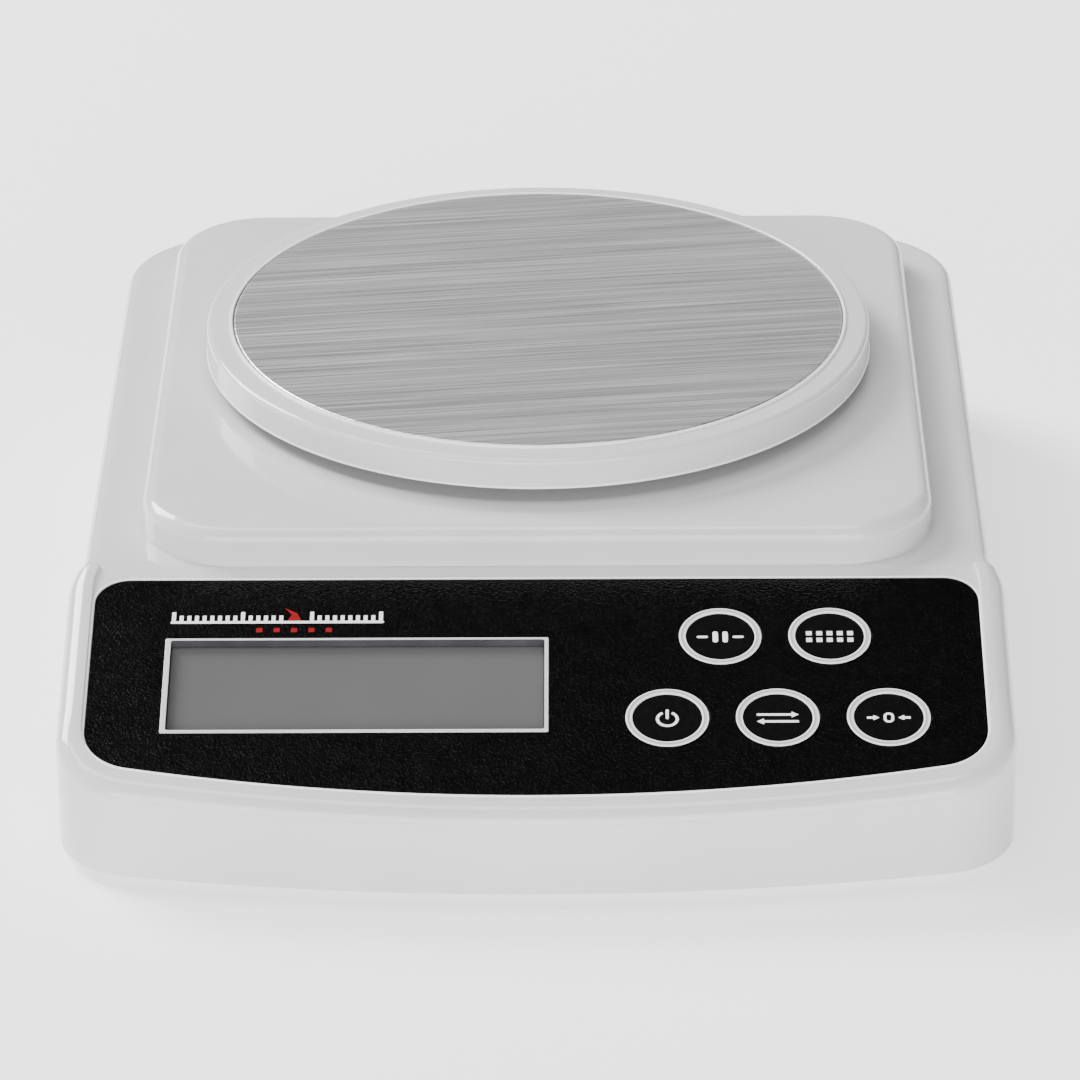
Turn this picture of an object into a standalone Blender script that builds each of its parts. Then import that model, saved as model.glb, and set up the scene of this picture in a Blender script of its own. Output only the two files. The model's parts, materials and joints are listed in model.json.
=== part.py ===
"""Counting scale: a bench scale with a round pan, a sloping panel and a single point load cell.

Metres, +Z up. X runs across the scale, -Y is the side the user faces, and z = 0 is the
surface that the four rubber feet stand on. The origin is at the middle of the footprint.
"""

import math

import bmesh
import bpy

# Case, seen from above
CASE_LENGTH = 0.2440
CONSOLE_WIDTH = 0.1930
BODY_WIDTH = 0.1880
FRONT_Y = -CASE_LENGTH / 2
BACK_Y = CASE_LENGTH / 2
BEND_Y = -0.0505
FLARE_LENGTH = 0.0100
FRONT_ARC_RADIUS = 0.440
FRONT_CORNER_RADIUS = 0.0175
REAR_CORNER_RADIUS = 0.0240

# Case, heights and walls
CASE_BOTTOM = 0.0025
SHOULDER_TOP = 0.0398
DECK_TOP = 0.0481
WALL = 0.0022
GAP = 0.0003
SHOULDER_FILLET = 0.0030
DECK_FILLET = 0.0025
DECK_SIZE = (0.1652, 0.1644)
DECK_FRONT_Y = BEND_Y + GAP
DECK_CORNER_RADIUS = 0.0200

# Panel: x across, s down the slope from the bend, n out of the slope
PANEL_SLOPE = math.radians(15.0)
RECESS_DEPTH = 0.0006
OVERLAY_TOP = -0.00005
OVERLAY_THICKNESS = 0.00025
OVERLAY_WIDTH = 0.1813
OVERLAY_UPPER_S = 0.0040
OVERLAY_LOWER_S = 0.0682
OVERLAY_UPPER_RADIUS = 0.0070
OVERLAY_LOWER_RADIUS = 0.0110
OVERLAY_ARC_RADIUS = 0.411
WINDOW_X = -0.03655
WINDOW_S = 0.0358
WINDOW_OUTER = (0.0781, 0.0281)
WINDOW_INNER = (0.0759, 0.0261)

# Keys
KEY_RADIUS = 0.0086
KEY_HOLE_RADIUS = KEY_RADIUS + GAP
KEY_FLANGE_RADIUS = 0.0098
KEY_FLANGE_BOTTOM = -0.0035
KEY_EDGE = 0.0002
KEY_TOP = 0.0001
KEY_HOLLOW_RADIUS = 0.0072
KEY_HOLLOW_TOP = -0.0013
KEY_NIB_RADIUS = 0.0020
KEY_TRAVEL = 0.0006
KEY_UPPER_S = 0.0218
KEY_LOWER_S = 0.0460
KEYS = {
    "key_hold": (0.0375, KEY_UPPER_S),
    "key_pieces": (0.0598, KEY_UPPER_S),
    "key_power": (0.0264, KEY_LOWER_S),
    "key_mode": (0.0486, KEY_LOWER_S),
    "key_tare": (0.0709, KEY_LOWER_S),
}

# Display and circuit board
GLASS_TOP = -WALL - GAP
GLASS_THICKNESS = 0.0028
GLASS_SIZE = (0.0800, 0.0310)
HOLDER_WALL = 0.0012
STRIP_SIZE = (0.0780, 0.0020)
STRIP_OFFSET = 0.0140
BOARD_TOP = -0.0098
BOARD_THICKNESS = 0.0016
BOARD_SIZE = (0.1600, 0.0530)
BOARD_S = 0.0345
BOARD_SCREW_X = 0.0770
BOARD_SCREW_S = (0.0110, 0.0580)
BOARD_BOSS_RADIUS = 0.0028
BOARD_PILOT_RADIUS = 0.0013
BOARD_PILOT_TOP = -0.0045
BOARD_SCREW_RADIUS = 0.0010
BOARD_SCREW_TIP = -0.0052
BOARD_HEAD_RADIUS = 0.0024
BOARD_HEAD_HEIGHT = 0.0020
CHIP_SIZE = (0.0140, 0.0140, 0.0016)
CHIP_AT = (0.0, 0.0300)
PLUG_SIZE = (0.0100, 0.0060, 0.0060)
PLUG_AT = (-0.0400, 0.0150)
SWITCH_SIZE = 0.0060
SWITCH_BODY_TOP = -0.0069
SWITCH_TOP = -0.0063
SWITCH_PLUNGER_RADIUS = 0.0017
KEY_NIB_END = SWITCH_TOP + KEY_TRAVEL + 0.0002

# Case screws and feet
CASE_SCREWS = {
    "front_left": (-0.0865, -0.0980),
    "front_right": (0.0865, -0.0980),
    "rear_left": (-0.0865, 0.0950),
    "rear_right": (0.0865, 0.0950),
}
BOSS_RADIUS = 0.0040
BOSS_BOTTOM = 0.0100
POST_RADIUS = 0.0045
POST_TOP = 0.0097
SCREW_SHANK_RADIUS = 0.0014
SCREW_HOLE_RADIUS = SCREW_SHANK_RADIUS + GAP
SCREW_HEAD_RADIUS = 0.0029
SCREW_HEAD = (0.0038, 0.0062)
SCREW_SINK_TOP = 0.0065
SCREW_TIP = 0.0200
SCREW_PILOT_TOP = 0.0210
FEET = {
    "front_left": (-0.0700, -0.0900),
    "front_right": (0.0700, -0.0900),
    "rear_left": (-0.0700, 0.1000),
    "rear_right": (0.0700, 0.1000),
}
FOOT_RADIUS = 0.0070
FOOT_TOP = 0.0030
FOOT_EDGE = 0.0008

# Lower case
FLOOR_TOP = CASE_BOTTOM + WALL
RIM_TOP = 0.0085
RIM_WALL = 0.0016
PLINTH_TOP = 0.0080
PLINTH_END_X = -0.0180
PLINTH_HALF_WIDTH = 0.0090
SINK_UNDER = 0.0005

# Battery bay: four cells side by side
BAY_INNER = (0.0620, 0.0610)
BAY_Y = -0.0135
BAY_ROOF = 0.0199
BAY_WALL = 0.0018
CELL_RADIUS = 0.00725
CELL_LENGTH = 0.0505
CELL_PITCH = 0.0150
CELL_Z = 0.0123
CONTACT_THICKNESS = 0.0005
SPRING_TURNS = 2
COVER_THICKNESS = 0.0018
COVER_TAB_X = CELL_PITCH
COVER_TAB_WIDTH = 0.0060
COVER_TAB_REACH = 0.0020
COVER_TAB = (0.0026, 0.0036)
COVER_RISER_Y = (-0.0028, -0.0008)
TAB_SLOT_PLAY = 0.0005
TAB_SLOT_TOP = 0.0075
TAB_SLOT_Y = (-0.0020, 0.0045)
SCOOP_RADIUS = 0.0090
SCOOP_TOP = 0.0037
CONTACT_HALF_WIDTH = 0.0290
CONTACT_Z = (0.0080, 0.0185)
SPRING_WIRE_RADIUS = 0.0004
SPRING_RADII = (0.0025, 0.0045)

# Pan
PAN_Y = 0.0352
PAN_RADIUS = 0.0723
PAN_LIP_TOP = 0.05825
PAN_RIM_TOP = 0.0576
PAN_BOTTOM = 0.0509
PAN_WALL = 0.0022
PAN_LIP_RADIUS = 0.0665
CARRIER_TOP = 0.0569
CARRIER_BOTTOM = 0.0549
PLATE_RADIUS = 0.0662
PLATE_TOP = 0.0581

# Load cell and spider
BEAM_SIZE = (0.0800, 0.0127, 0.0127)
BEAM_BOTTOM = PLINTH_TOP + GAP
BEAM_TOP = BEAM_BOTTOM + BEAM_SIZE[2]
BEAM_SCREW_X = (0.0230, 0.0350)
STOP_X = 0.0290
STOP_SCREW_RADIUS = 0.0015
STOP_SCREW_BOTTOM = 0.0030
STOP_SCREW_EDGE = 0.0004
STOP_BOSS_RADIUS = 0.0045
STOP_BOSS_TOP = 0.0066
STOP_SCREW_TOP = BEAM_BOTTOM - 0.0005
BEAM_SCREW_RADIUS = 0.0019
BEAM_HEAD_RADIUS = 0.0034
BASE_SCREW_HEAD = (0.0030, 0.0057)
BASE_SCREW_TIP = 0.0170
BASE_SCREW_SINK_TOP = 0.0060
SPIDER_HEAD_HEIGHT = 0.0027
SPIDER_SCREW_TIP = 0.0130
FLEXURE_X = 0.0090
FLEXURE_RADIUS = 0.0042
FLEXURE_SLOT_HALF = 0.0015
SPACER_TOP = 0.0233
SPIDER_BOTTOM = SPACER_TOP + GAP
SPIDER_TOP = 0.0266
SPIDER_HUB_RADIUS = 0.0140
SPIDER_EYE_RADIUS = 0.0070
SPIDER_ARM_HALF_WIDTH = 0.0045
SUPPORT_REACH = 0.0260
SUPPORT_RADIUS = 0.0040
SUPPORT_TOP = 0.0513
DECK_HOLE_RADIUS = 0.0065
PAD_RADIUS = 0.0055
PAD_TOP = CARRIER_BOTTOM - GAP

# Colour, roughness, metallic
FINISHES = {
    "white_plastic": ((0.63, 0.63, 0.62), 0.28, 0.0),
    "black_sheet": ((0.012, 0.012, 0.013), 0.35, 0.0),
    "dark_plastic": ((0.03, 0.03, 0.03), 0.5, 0.0),
    "display_glass": ((0.24, 0.25, 0.24), 0.15, 0.0),
    "rubber": ((0.05, 0.05, 0.05), 0.8, 0.0),
    "brushed_steel": ((0.42, 0.42, 0.42), 0.35, 1.0),
    "zinc_steel": ((0.55, 0.55, 0.57), 0.35, 1.0),
    "aluminium": ((0.60, 0.61, 0.62), 0.4, 1.0),
    "board_green": ((0.02, 0.16, 0.06), 0.45, 0.0),
    "cell_wrap": ((0.05, 0.10, 0.28), 0.35, 0.0),
    "cable_grey": ((0.35, 0.35, 0.35), 0.5, 0.0),
}

PARTS = bpy.data.collections.new("counting_scale")
CUTTERS = bpy.data.collections.new("counting_scale_cutters")


# Scene and objects

def clear_scene():
    for obj in list(bpy.data.objects):
        bpy.data.objects.remove(obj)
    for collection in (PARTS, CUTTERS):
        bpy.context.scene.collection.children.link(collection)


def finish_of(finish):
    """The material for one finish, made the first time it is asked for."""
    material = bpy.data.materials.get(finish)
    if material:
        return material
    colour, roughness, metallic = FINISHES[finish]
    material = bpy.data.materials.new(finish)
    material.use_nodes = True
    shader = material.node_tree.nodes["Principled BSDF"]
    shader.inputs["Base Color"].default_value = (*colour, 1.0)
    shader.inputs["Roughness"].default_value = roughness
    shader.inputs["Metallic"].default_value = metallic
    return material


def add_object(name, data, finish, location=(0, 0, 0), frame=None):
    obj = bpy.data.objects.new(name, data)
    PARTS.objects.link(obj)
    obj.location = location
    obj.parent = frame
    data.materials.clear()
    data.materials.append(finish_of(finish))
    return obj


def new_frame(name, location, tilt=0.0):
    frame = bpy.data.objects.new(name, None)
    PARTS.objects.link(frame)
    frame.location = location
    frame.rotation_euler.x = tilt
    return frame


def boolean(target, tool, operation):
    modifier = target.modifiers.new(f"{operation} {tool.name}"[:60], "BOOLEAN")
    modifier.operation = operation
    modifier.solver = "EXACT"
    modifier.object = tool
    if tool.name not in CUTTERS.objects:
        PARTS.objects.unlink(tool)
        CUTTERS.objects.link(tool)
    tool.hide_render = True
    tool.display_type = "WIRE"


def cut(target, *tools):
    for tool in tools:
        boolean(target, tool, "DIFFERENCE")


def join(target, *tools):
    for tool in tools:
        boolean(target, tool, "UNION")


# Outlines

def arc(centre, radius, start, end, steps):
    """Points along an arc, angles in degrees, both ends included."""
    points = []
    for i in range(steps + 1):
        angle = math.radians(start + (end - start) * i / steps)
        points.append((centre[0] + radius * math.cos(angle), centre[1] + radius * math.sin(angle)))
    return points


def mirrored(half):
    """A closed outline from its right half, which runs from front to back."""
    left = [(-x, y) for x, y in reversed(half) if x > 1e-6]
    return half + left


def rounded_rectangle(width, length, radius, centre=(0, 0), steps=5):
    reach_x = width / 2 - radius
    reach_y = length / 2 - radius
    points = []
    for side_x, side_y, start in ((1, 1, 0), (-1, 1, 90), (-1, -1, 180), (1, -1, 270)):
        corner = (centre[0] + side_x * reach_x, centre[1] + side_y * reach_y)
        points += arc(corner, radius, start, start + 90, steps)
    return points


def circle(radius, centre=(0, 0), steps=20):
    return arc(centre, radius, 0, 360 - 360 / steps, steps - 1)


def bowed_corner(half_width, arc_radius, corner_radius, arc_bottom):
    """Where a corner circle sits that touches both a bowed front edge and a straight side."""
    across = half_width - corner_radius
    along = math.sqrt((arc_radius - corner_radius) ** 2 - across ** 2)
    turn = math.degrees(math.atan2(-along, across))
    return (across, arc_bottom + arc_radius - along), turn


def case_outline(inset):
    """The case from above, set in by a distance all round."""
    half_console = CONSOLE_WIDTH / 2
    corner, turn = bowed_corner(half_console, FRONT_ARC_RADIUS, FRONT_CORNER_RADIUS, FRONT_Y)
    arc_centre = (0, FRONT_Y + FRONT_ARC_RADIUS)
    half = arc(arc_centre, FRONT_ARC_RADIUS - inset, -90, turn, 4)
    half += arc(corner, FRONT_CORNER_RADIUS - inset, turn + 16, 0, 4)
    half.append((half_console - inset, BEND_Y - FLARE_LENGTH / 3))
    half.append((BODY_WIDTH / 2 - inset, BEND_Y + FLARE_LENGTH * 2 / 3))
    rear = (BODY_WIDTH / 2 - REAR_CORNER_RADIUS, BACK_Y - REAR_CORNER_RADIUS)
    half += arc(rear, REAR_CORNER_RADIUS - inset, 0, 90, 6)
    return mirrored(half)


def overlay_outline(grow):
    """The panel sheet, x across and s down the slope, grown by a distance all round."""
    half = OVERLAY_WIDTH / 2
    arc_radius = OVERLAY_ARC_RADIUS
    radius = OVERLAY_LOWER_RADIUS
    corner, turn = bowed_corner(half, arc_radius, radius, -OVERLAY_LOWER_S)
    side = arc((0, arc_radius - OVERLAY_LOWER_S), arc_radius + grow, -90, turn, 4)
    side += arc(corner, radius + grow, turn + 16, 0, 4)
    upper = (half - OVERLAY_UPPER_RADIUS, -OVERLAY_UPPER_S - OVERLAY_UPPER_RADIUS)
    side += arc(upper, OVERLAY_UPPER_RADIUS + grow, 0, 90, 4)
    return [(x, -y) for x, y in mirrored(side)]


# Solids

def meshed(obj):
    """The object with its curve turned into a welded mesh."""
    bpy.context.view_layer.update()
    evaluated = obj.evaluated_get(bpy.context.evaluated_depsgraph_get())
    mesh = bpy.data.meshes.new_from_object(evaluated)
    bm = bmesh.new()
    bm.from_mesh(mesh)
    bmesh.ops.remove_doubles(bm, verts=bm.verts, dist=1e-5)
    bmesh.ops.recalc_face_normals(bm, faces=bm.faces)
    bm.to_mesh(mesh)
    bm.free()
    name = obj.name
    solid = bpy.data.objects.new(name + "_mesh", mesh)
    PARTS.objects.link(solid)
    solid.matrix_world = obj.matrix_world
    solid.parent = obj.parent
    solid.location = obj.location
    solid.rotation_euler = obj.rotation_euler
    bpy.data.objects.remove(obj)
    solid.name = name
    return solid


def plate(name, outlines, low, high, finish="white_plastic", frame=None):
    """A flat outline, with any holes, extruded from low to high."""
    curve = bpy.data.curves.new(name, "CURVE")
    curve.dimensions = "2D"
    curve.fill_mode = "BOTH"
    curve.extrude = (high - low) / 2
    for outline in outlines:
        spline = curve.splines.new("POLY")
        spline.points.add(len(outline) - 1)
        for point, (x, y) in zip(spline.points, outline):
            point.co = (x, y, 0, 1)
        spline.use_cyclic_u = True
    return meshed(add_object(name, curve, finish, (0, 0, (low + high) / 2), frame))


def panel_plate(name, outlines, low, high, frame, finish="white_plastic"):
    """A plate on the panel, its outlines in x and s."""
    upright = [[(x, -s) for x, s in outline] for outline in outlines]
    return plate(name, upright, low, high, finish, frame)


def box(name, low, high, finish="white_plastic", frame=None):
    centre = [(a + b) / 2 for a, b in zip(low, high)]
    mesh = bpy.data.meshes.new(name)
    bm = bmesh.new()
    bmesh.ops.create_cube(bm, size=1)
    for vert in bm.verts:
        vert.co = [part * (b - a) for part, a, b in zip(vert.co, low, high)]
    bm.to_mesh(mesh)
    bm.free()
    return add_object(name, mesh, finish, centre, frame)


def cylinder(name, radius, low, high, at=(0, 0), finish="white_plastic", frame=None, steps=16):
    mesh = bpy.data.meshes.new(name)
    bm = bmesh.new()
    bmesh.ops.create_cone(
        bm,
        cap_ends=True,
        segments=steps,
        radius1=radius,
        radius2=radius,
        depth=high - low,
    )
    bm.to_mesh(mesh)
    bm.free()
    return add_object(name, mesh, finish, (*at, (low + high) / 2), frame)


def turned(name, profile, finish, location=(0, 0, 0), frame=None, steps=20, closed=False):
    """A profile of (radius, height) points turned round Z. Its outer side runs downwards."""
    mesh = bpy.data.meshes.new(name)
    bm = bmesh.new()
    verts = [bm.verts.new((radius, 0, height)) for radius, height in profile]
    for first, second in zip(verts, verts[1:]):
        bm.edges.new((first, second))
    if closed:
        bm.edges.new((verts[-1], verts[0]))
    bm.to_mesh(mesh)
    bm.free()
    obj = add_object(name, mesh, finish, location, frame)
    screw = obj.modifiers.new("turn", "SCREW")
    screw.steps = steps
    screw.render_steps = steps
    screw.use_merge_vertices = True
    screw.merge_threshold = 1e-5
    return obj


def wire(name, points, radius, finish, location=(0, 0, 0)):
    curve = bpy.data.curves.new(name, "CURVE")
    curve.dimensions = "3D"
    curve.bevel_depth = radius
    curve.bevel_resolution = 2
    curve.use_fill_caps = True
    spline = curve.splines.new("POLY")
    spline.points.add(len(points) - 1)
    for point, place in zip(spline.points, points):
        point.co = (*place, 1)
    return add_object(name, curve, finish, location)


def smooth_route(stops, between):
    """Points along a Catmull-Rom curve through the stops."""
    ends = [stops[0], *stops, stops[-1]]
    points = []
    for a, b, c, d in zip(ends, ends[1:], ends[2:], ends[3:]):
        for i in range(between):
            t = i / between
            place = []
            for p, q, r, s in zip(a, b, c, d):
                bend = 2 * p - 5 * q + 4 * r - s
                twist = 3 * q - p - 3 * r + s
                place.append(0.5 * (2 * q + (r - p) * t + bend * t * t + twist * t ** 3))
            points.append(tuple(place))
    return points + [stops[-1]]


def fillet_top(obj, width, segments=2):
    """Rounds the edges of a plate's upper face."""
    mesh = obj.data
    top = max(vert.co.z for vert in mesh.vertices)
    weights = mesh.attributes.new("bevel_weight_edge", "FLOAT", "EDGE")
    for edge in mesh.edges:
        if all(mesh.vertices[i].co.z > top - 1e-6 for i in edge.vertices):
            weights.data[edge.index].value = 1.0
    bevel = obj.modifiers.new("fillet", "BEVEL")
    bevel.limit_method = "WEIGHT"
    bevel.width = width
    bevel.segments = segments


# Upper case

def slope_cutter(name, height, panel):
    """Everything above the panel's slope, raised or lowered by a height."""
    reach = 0.12
    return box(name, (-reach, -reach, height), (reach, 0, height + 0.05), frame=panel)


def deck_outline(inset):
    centre = (0, DECK_FRONT_Y + DECK_SIZE[1] / 2)
    width, length = (size - 2 * inset for size in DECK_SIZE)
    return rounded_rectangle(width, length, DECK_CORNER_RADIUS - inset, centre)


def support_places():
    places = {}
    for side, x in (("left", -SUPPORT_REACH), ("right", SUPPORT_REACH)):
        for end, y in (("front", -SUPPORT_REACH), ("rear", SUPPORT_REACH)):
            places[f"{end}_{side}"] = (x, PAN_Y + y)
    return places


def board_screw_places():
    places = {}
    for side, x in (("left", -BOARD_SCREW_X), ("right", BOARD_SCREW_X)):
        for end, s in zip(("upper", "lower"), BOARD_SCREW_S):
            places[f"{end}_{side}"] = (x, s)
    return places


def case_cavity(panel):
    """The hollow of the upper case, which leaves its screw bosses standing."""
    roof = SHOULDER_TOP - WALL
    cavity = plate("case_cavity", [case_outline(WALL)], CASE_BOTTOM - 0.002, roof)
    cut(cavity, slope_cutter("cavity_slope", -WALL, panel))
    join(cavity, plate("deck_cavity", [deck_outline(WALL)], roof - 0.003, DECK_TOP - WALL))
    for name, place in CASE_SCREWS.items():
        cut(cavity, cylinder(f"boss_{name}", BOSS_RADIUS, BOSS_BOTTOM, 0.045, place))
    for name, (x, s) in board_screw_places().items():
        boss = cylinder(
            f"board_boss_{name}", BOARD_BOSS_RADIUS, BOARD_TOP + GAP, 0.0, (x, -s), frame=panel
        )
        cut(cavity, boss)
    return cavity


def upper_housing(panel):
    case = plate("upper_housing", [case_outline(0)], CASE_BOTTOM, SHOULDER_TOP)
    fillet_top(case, SHOULDER_FILLET)
    deck = plate("deck", [deck_outline(0)], SHOULDER_TOP - 0.005, DECK_TOP)
    fillet_top(deck, DECK_FILLET)
    cut(case, slope_cutter("case_slope", 0, panel))
    join(case, deck)
    cut(case, case_cavity(panel))
    recess = panel_plate("panel_recess", [overlay_outline(GAP)], -RECESS_DEPTH, 0.004, panel)
    cut(case, recess)
    window = (WINDOW_X, WINDOW_S)
    lip = rounded_rectangle(*WINDOW_OUTER, 0.0006, window, 2)
    join(case, panel_plate("window_lip", [lip], -WALL + GAP, OVERLAY_TOP, panel))
    opening = rounded_rectangle(*WINDOW_INNER, 0.0004, window, 2)
    cut(case, panel_plate("window_opening", [opening], -0.006, 0.003, panel))
    for name, (x, s) in KEYS.items():
        hole = cylinder(
            f"{name}_hole", KEY_HOLE_RADIUS, -0.006, 0.003, (x, -s), frame=panel, steps=20
        )
        cut(case, hole)
    for name, place in support_places().items():
        cut(case, cylinder(f"deck_hole_{name}", DECK_HOLE_RADIUS, 0.040, 0.052, place))
    for name, place in CASE_SCREWS.items():
        pilot = cylinder(f"pilot_{name}", SCREW_HOLE_RADIUS, 0.005, SCREW_PILOT_TOP, place,
                         steps=12)
        cut(case, pilot)
    for name, (x, s) in board_screw_places().items():
        pilot = cylinder(f"board_pilot_{name}", BOARD_PILOT_RADIUS, -0.012, BOARD_PILOT_TOP,
                         (x, -s), frame=panel, steps=12)
        cut(case, pilot)
    return case


# Panel

def panel_overlay(panel):
    outlines = [overlay_outline(0)]
    grown = [size + 2 * GAP for size in WINDOW_OUTER]
    outlines.append(rounded_rectangle(*grown, 0.0006, (WINDOW_X, WINDOW_S), 2))
    for centre in KEYS.values():
        outlines.append(circle(KEY_HOLE_RADIUS, centre))
    bottom = OVERLAY_TOP - OVERLAY_THICKNESS
    return panel_plate("panel_overlay", outlines, bottom, OVERLAY_TOP, panel, "black_sheet")


def key(name, x, s, panel):
    """A cap that is held by a flange under the case wall, with a nib over its switch."""
    profile = [
        (0, KEY_TOP),
        (KEY_RADIUS - KEY_EDGE, KEY_TOP),
        (KEY_RADIUS, KEY_TOP - KEY_EDGE),
        (KEY_RADIUS, -WALL - GAP),
        (KEY_FLANGE_RADIUS, -WALL - GAP),
        (KEY_FLANGE_RADIUS, KEY_FLANGE_BOTTOM),
        (KEY_HOLLOW_RADIUS, KEY_FLANGE_BOTTOM),
        (KEY_HOLLOW_RADIUS, KEY_HOLLOW_TOP),
        (KEY_NIB_RADIUS, KEY_HOLLOW_TOP),
        (KEY_NIB_RADIUS, KEY_NIB_END),
        (0, KEY_NIB_END),
    ]
    return turned(name, profile, "black_sheet", (x, -s, 0), panel)


def display(panel):
    centre = (WINDOW_X, WINDOW_S)
    glass = rounded_rectangle(*GLASS_SIZE, 0.0003, centre, 1)
    glass_bottom = GLASS_TOP - GLASS_THICKNESS
    panel_plate("lcd_glass", [glass], glass_bottom, GLASS_TOP, panel, "display_glass")
    inner = [size + 2 * GAP for size in GLASS_SIZE]
    outer = [size + 2 * HOLDER_WALL for size in inner]
    ring = [
        rounded_rectangle(*outer, 0.0010, centre, 2),
        rounded_rectangle(*inner, 0.0003, centre, 1),
    ]
    panel_plate("lcd_holder", ring, BOARD_TOP + GAP, GLASS_TOP, panel)
    for name, side in (("upper", -1), ("lower", 1)):
        strip_s = WINDOW_S + side * STRIP_OFFSET
        strip = rounded_rectangle(*STRIP_SIZE, 0.0003, (WINDOW_X, strip_s), 1)
        panel_plate(f"elastomer_strip_{name}", [strip], BOARD_TOP + GAP, glass_bottom - GAP,
                    panel, "rubber")


def tact_switch(name, x, s, panel):
    half = SWITCH_SIZE / 2
    low = (x - half, -s - half, BOARD_TOP + GAP)
    high = (x + half, -s + half, SWITCH_BODY_TOP)
    switch = box(name, low, high, "dark_plastic", panel)
    plunger = cylinder(f"{name}_plunger", SWITCH_PLUNGER_RADIUS, SWITCH_BODY_TOP - 0.001,
                       SWITCH_TOP, (x, -s), frame=panel, steps=12)
    join(switch, plunger)
    return switch


def hung_block(name, place, size, top, finish, panel):
    """A block that hangs under the circuit board, its place in x and s."""
    low = (place[0] - size[0] / 2, -place[1] - size[1] / 2, top - size[2])
    high = (place[0] + size[0] / 2, -place[1] + size[1] / 2, top)
    return box(name, low, high, finish, panel)


def circuit_board(panel):
    outline = rounded_rectangle(*BOARD_SIZE, 0.0010, (0, BOARD_S), 2)
    holes = [circle(BOARD_PILOT_RADIUS, place, 12) for place in board_screw_places().values()]
    bottom = BOARD_TOP - BOARD_THICKNESS
    panel_plate("circuit_board", [outline, *holes], bottom, BOARD_TOP, panel, "board_green")
    under = bottom - GAP
    hung_block("converter_chip", CHIP_AT, CHIP_SIZE, under, "dark_plastic", panel)
    hung_block("load_cell_plug", PLUG_AT, PLUG_SIZE, under, "white_plastic", panel)
    for name, (x, s) in board_screw_places().items():
        profile = [
            (0, BOARD_SCREW_TIP),
            (BOARD_SCREW_RADIUS, BOARD_SCREW_TIP - 0.0003),
            (BOARD_SCREW_RADIUS, under),
            (BOARD_HEAD_RADIUS, under),
            (BOARD_HEAD_RADIUS - 0.0002, under - BOARD_HEAD_HEIGHT + 0.0002),
            (0, under - BOARD_HEAD_HEIGHT),
        ]
        turned(f"board_screw_{name}", profile, "zinc_steel", (x, -s, 0), panel, 12)


# Lower case

def bay_end(side):
    """The inner face of the battery bay, -1 at the front and 1 at the back."""
    return BAY_Y + side * BAY_INNER[1] / 2


def lower_housing():
    base = plate("lower_housing", [case_outline(WALL + GAP)], CASE_BOTTOM, FLOOR_TOP)
    rim = [case_outline(WALL + GAP + 0.0001), case_outline(WALL + GAP + RIM_WALL)]
    join(base, plate("base_rim", rim, CASE_BOTTOM + 0.001, RIM_TOP))
    half_x = BAY_INNER[0] / 2
    low = (-half_x - BAY_WALL, bay_end(-1) - BAY_WALL, CASE_BOTTOM + 0.0005)
    high = (half_x + BAY_WALL, bay_end(1) + BAY_WALL, BAY_ROOF + BAY_WALL)
    join(base, box("bay_block", low, high))
    root = CASE_BOTTOM + SINK_UNDER
    plinth_low = (-BEAM_SIZE[0] / 2, PAN_Y - PLINTH_HALF_WIDTH, root + 0.0001)
    plinth_high = (PLINTH_END_X, PAN_Y + PLINTH_HALF_WIDTH, PLINTH_TOP)
    join(base, box("plinth", plinth_low, plinth_high))
    stop_place = (STOP_X, PAN_Y)
    join(base, cylinder("stop_boss", STOP_BOSS_RADIUS, root + 0.0001, STOP_BOSS_TOP, stop_place))
    for name, place in CASE_SCREWS.items():
        join(base, cylinder(f"post_{name}", POST_RADIUS, root, POST_TOP, place))
    cut_base(base, half_x)
    return base


def cut_base(base, half_x):
    """The bay's mouth, its tab slots, the finger scoop, the screw holes and the foot sockets."""
    cut(base, box("bay_hollow", (-half_x, bay_end(-1), 0), (half_x, bay_end(1), BAY_ROOF)))
    for name, side in (("left", -1), ("right", 1)):
        middle = side * COVER_TAB_X
        reach = COVER_TAB_WIDTH / 2 + TAB_SLOT_PLAY
        low = (middle - reach, bay_end(1) + TAB_SLOT_Y[0], FLOOR_TOP)
        high = (middle + reach, bay_end(1) + TAB_SLOT_Y[1], TAB_SLOT_TOP)
        cut(base, box(f"tab_slot_{name}", low, high))
    scoop_place = (0, bay_end(-1) - 0.0010)
    cut(base, cylinder("finger_scoop", SCOOP_RADIUS, -0.004, SCOOP_TOP, scoop_place))
    for name, place in CASE_SCREWS.items():
        cut(base, cylinder(f"clear_{name}", SCREW_HOLE_RADIUS, 0, 0.012, place, steps=12))
        sink = cylinder(f"sink_{name}", SCREW_HEAD_RADIUS + GAP, 0, SCREW_SINK_TOP, place, steps=16)
        cut(base, sink)
    for i, x in enumerate(BEAM_SCREW_X):
        place = (-x, PAN_Y)
        hole = BEAM_SCREW_RADIUS + GAP
        cut(base, cylinder(f"beam_hole_{i}", hole, 0, 0.012, place, steps=12))
        sink = cylinder(f"beam_sink_{i}", BEAM_HEAD_RADIUS + GAP, 0, BASE_SCREW_SINK_TOP, place,
                        steps=16)
        cut(base, sink)
    cut(base, cylinder("stop_hole", STOP_SCREW_RADIUS + GAP, 0, 0.010, (STOP_X, PAN_Y), steps=12))
    for name, place in FEET.items():
        cut(base, cylinder(f"socket_{name}", FOOT_RADIUS + GAP, 0, FOOT_TOP + GAP, place))


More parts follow.
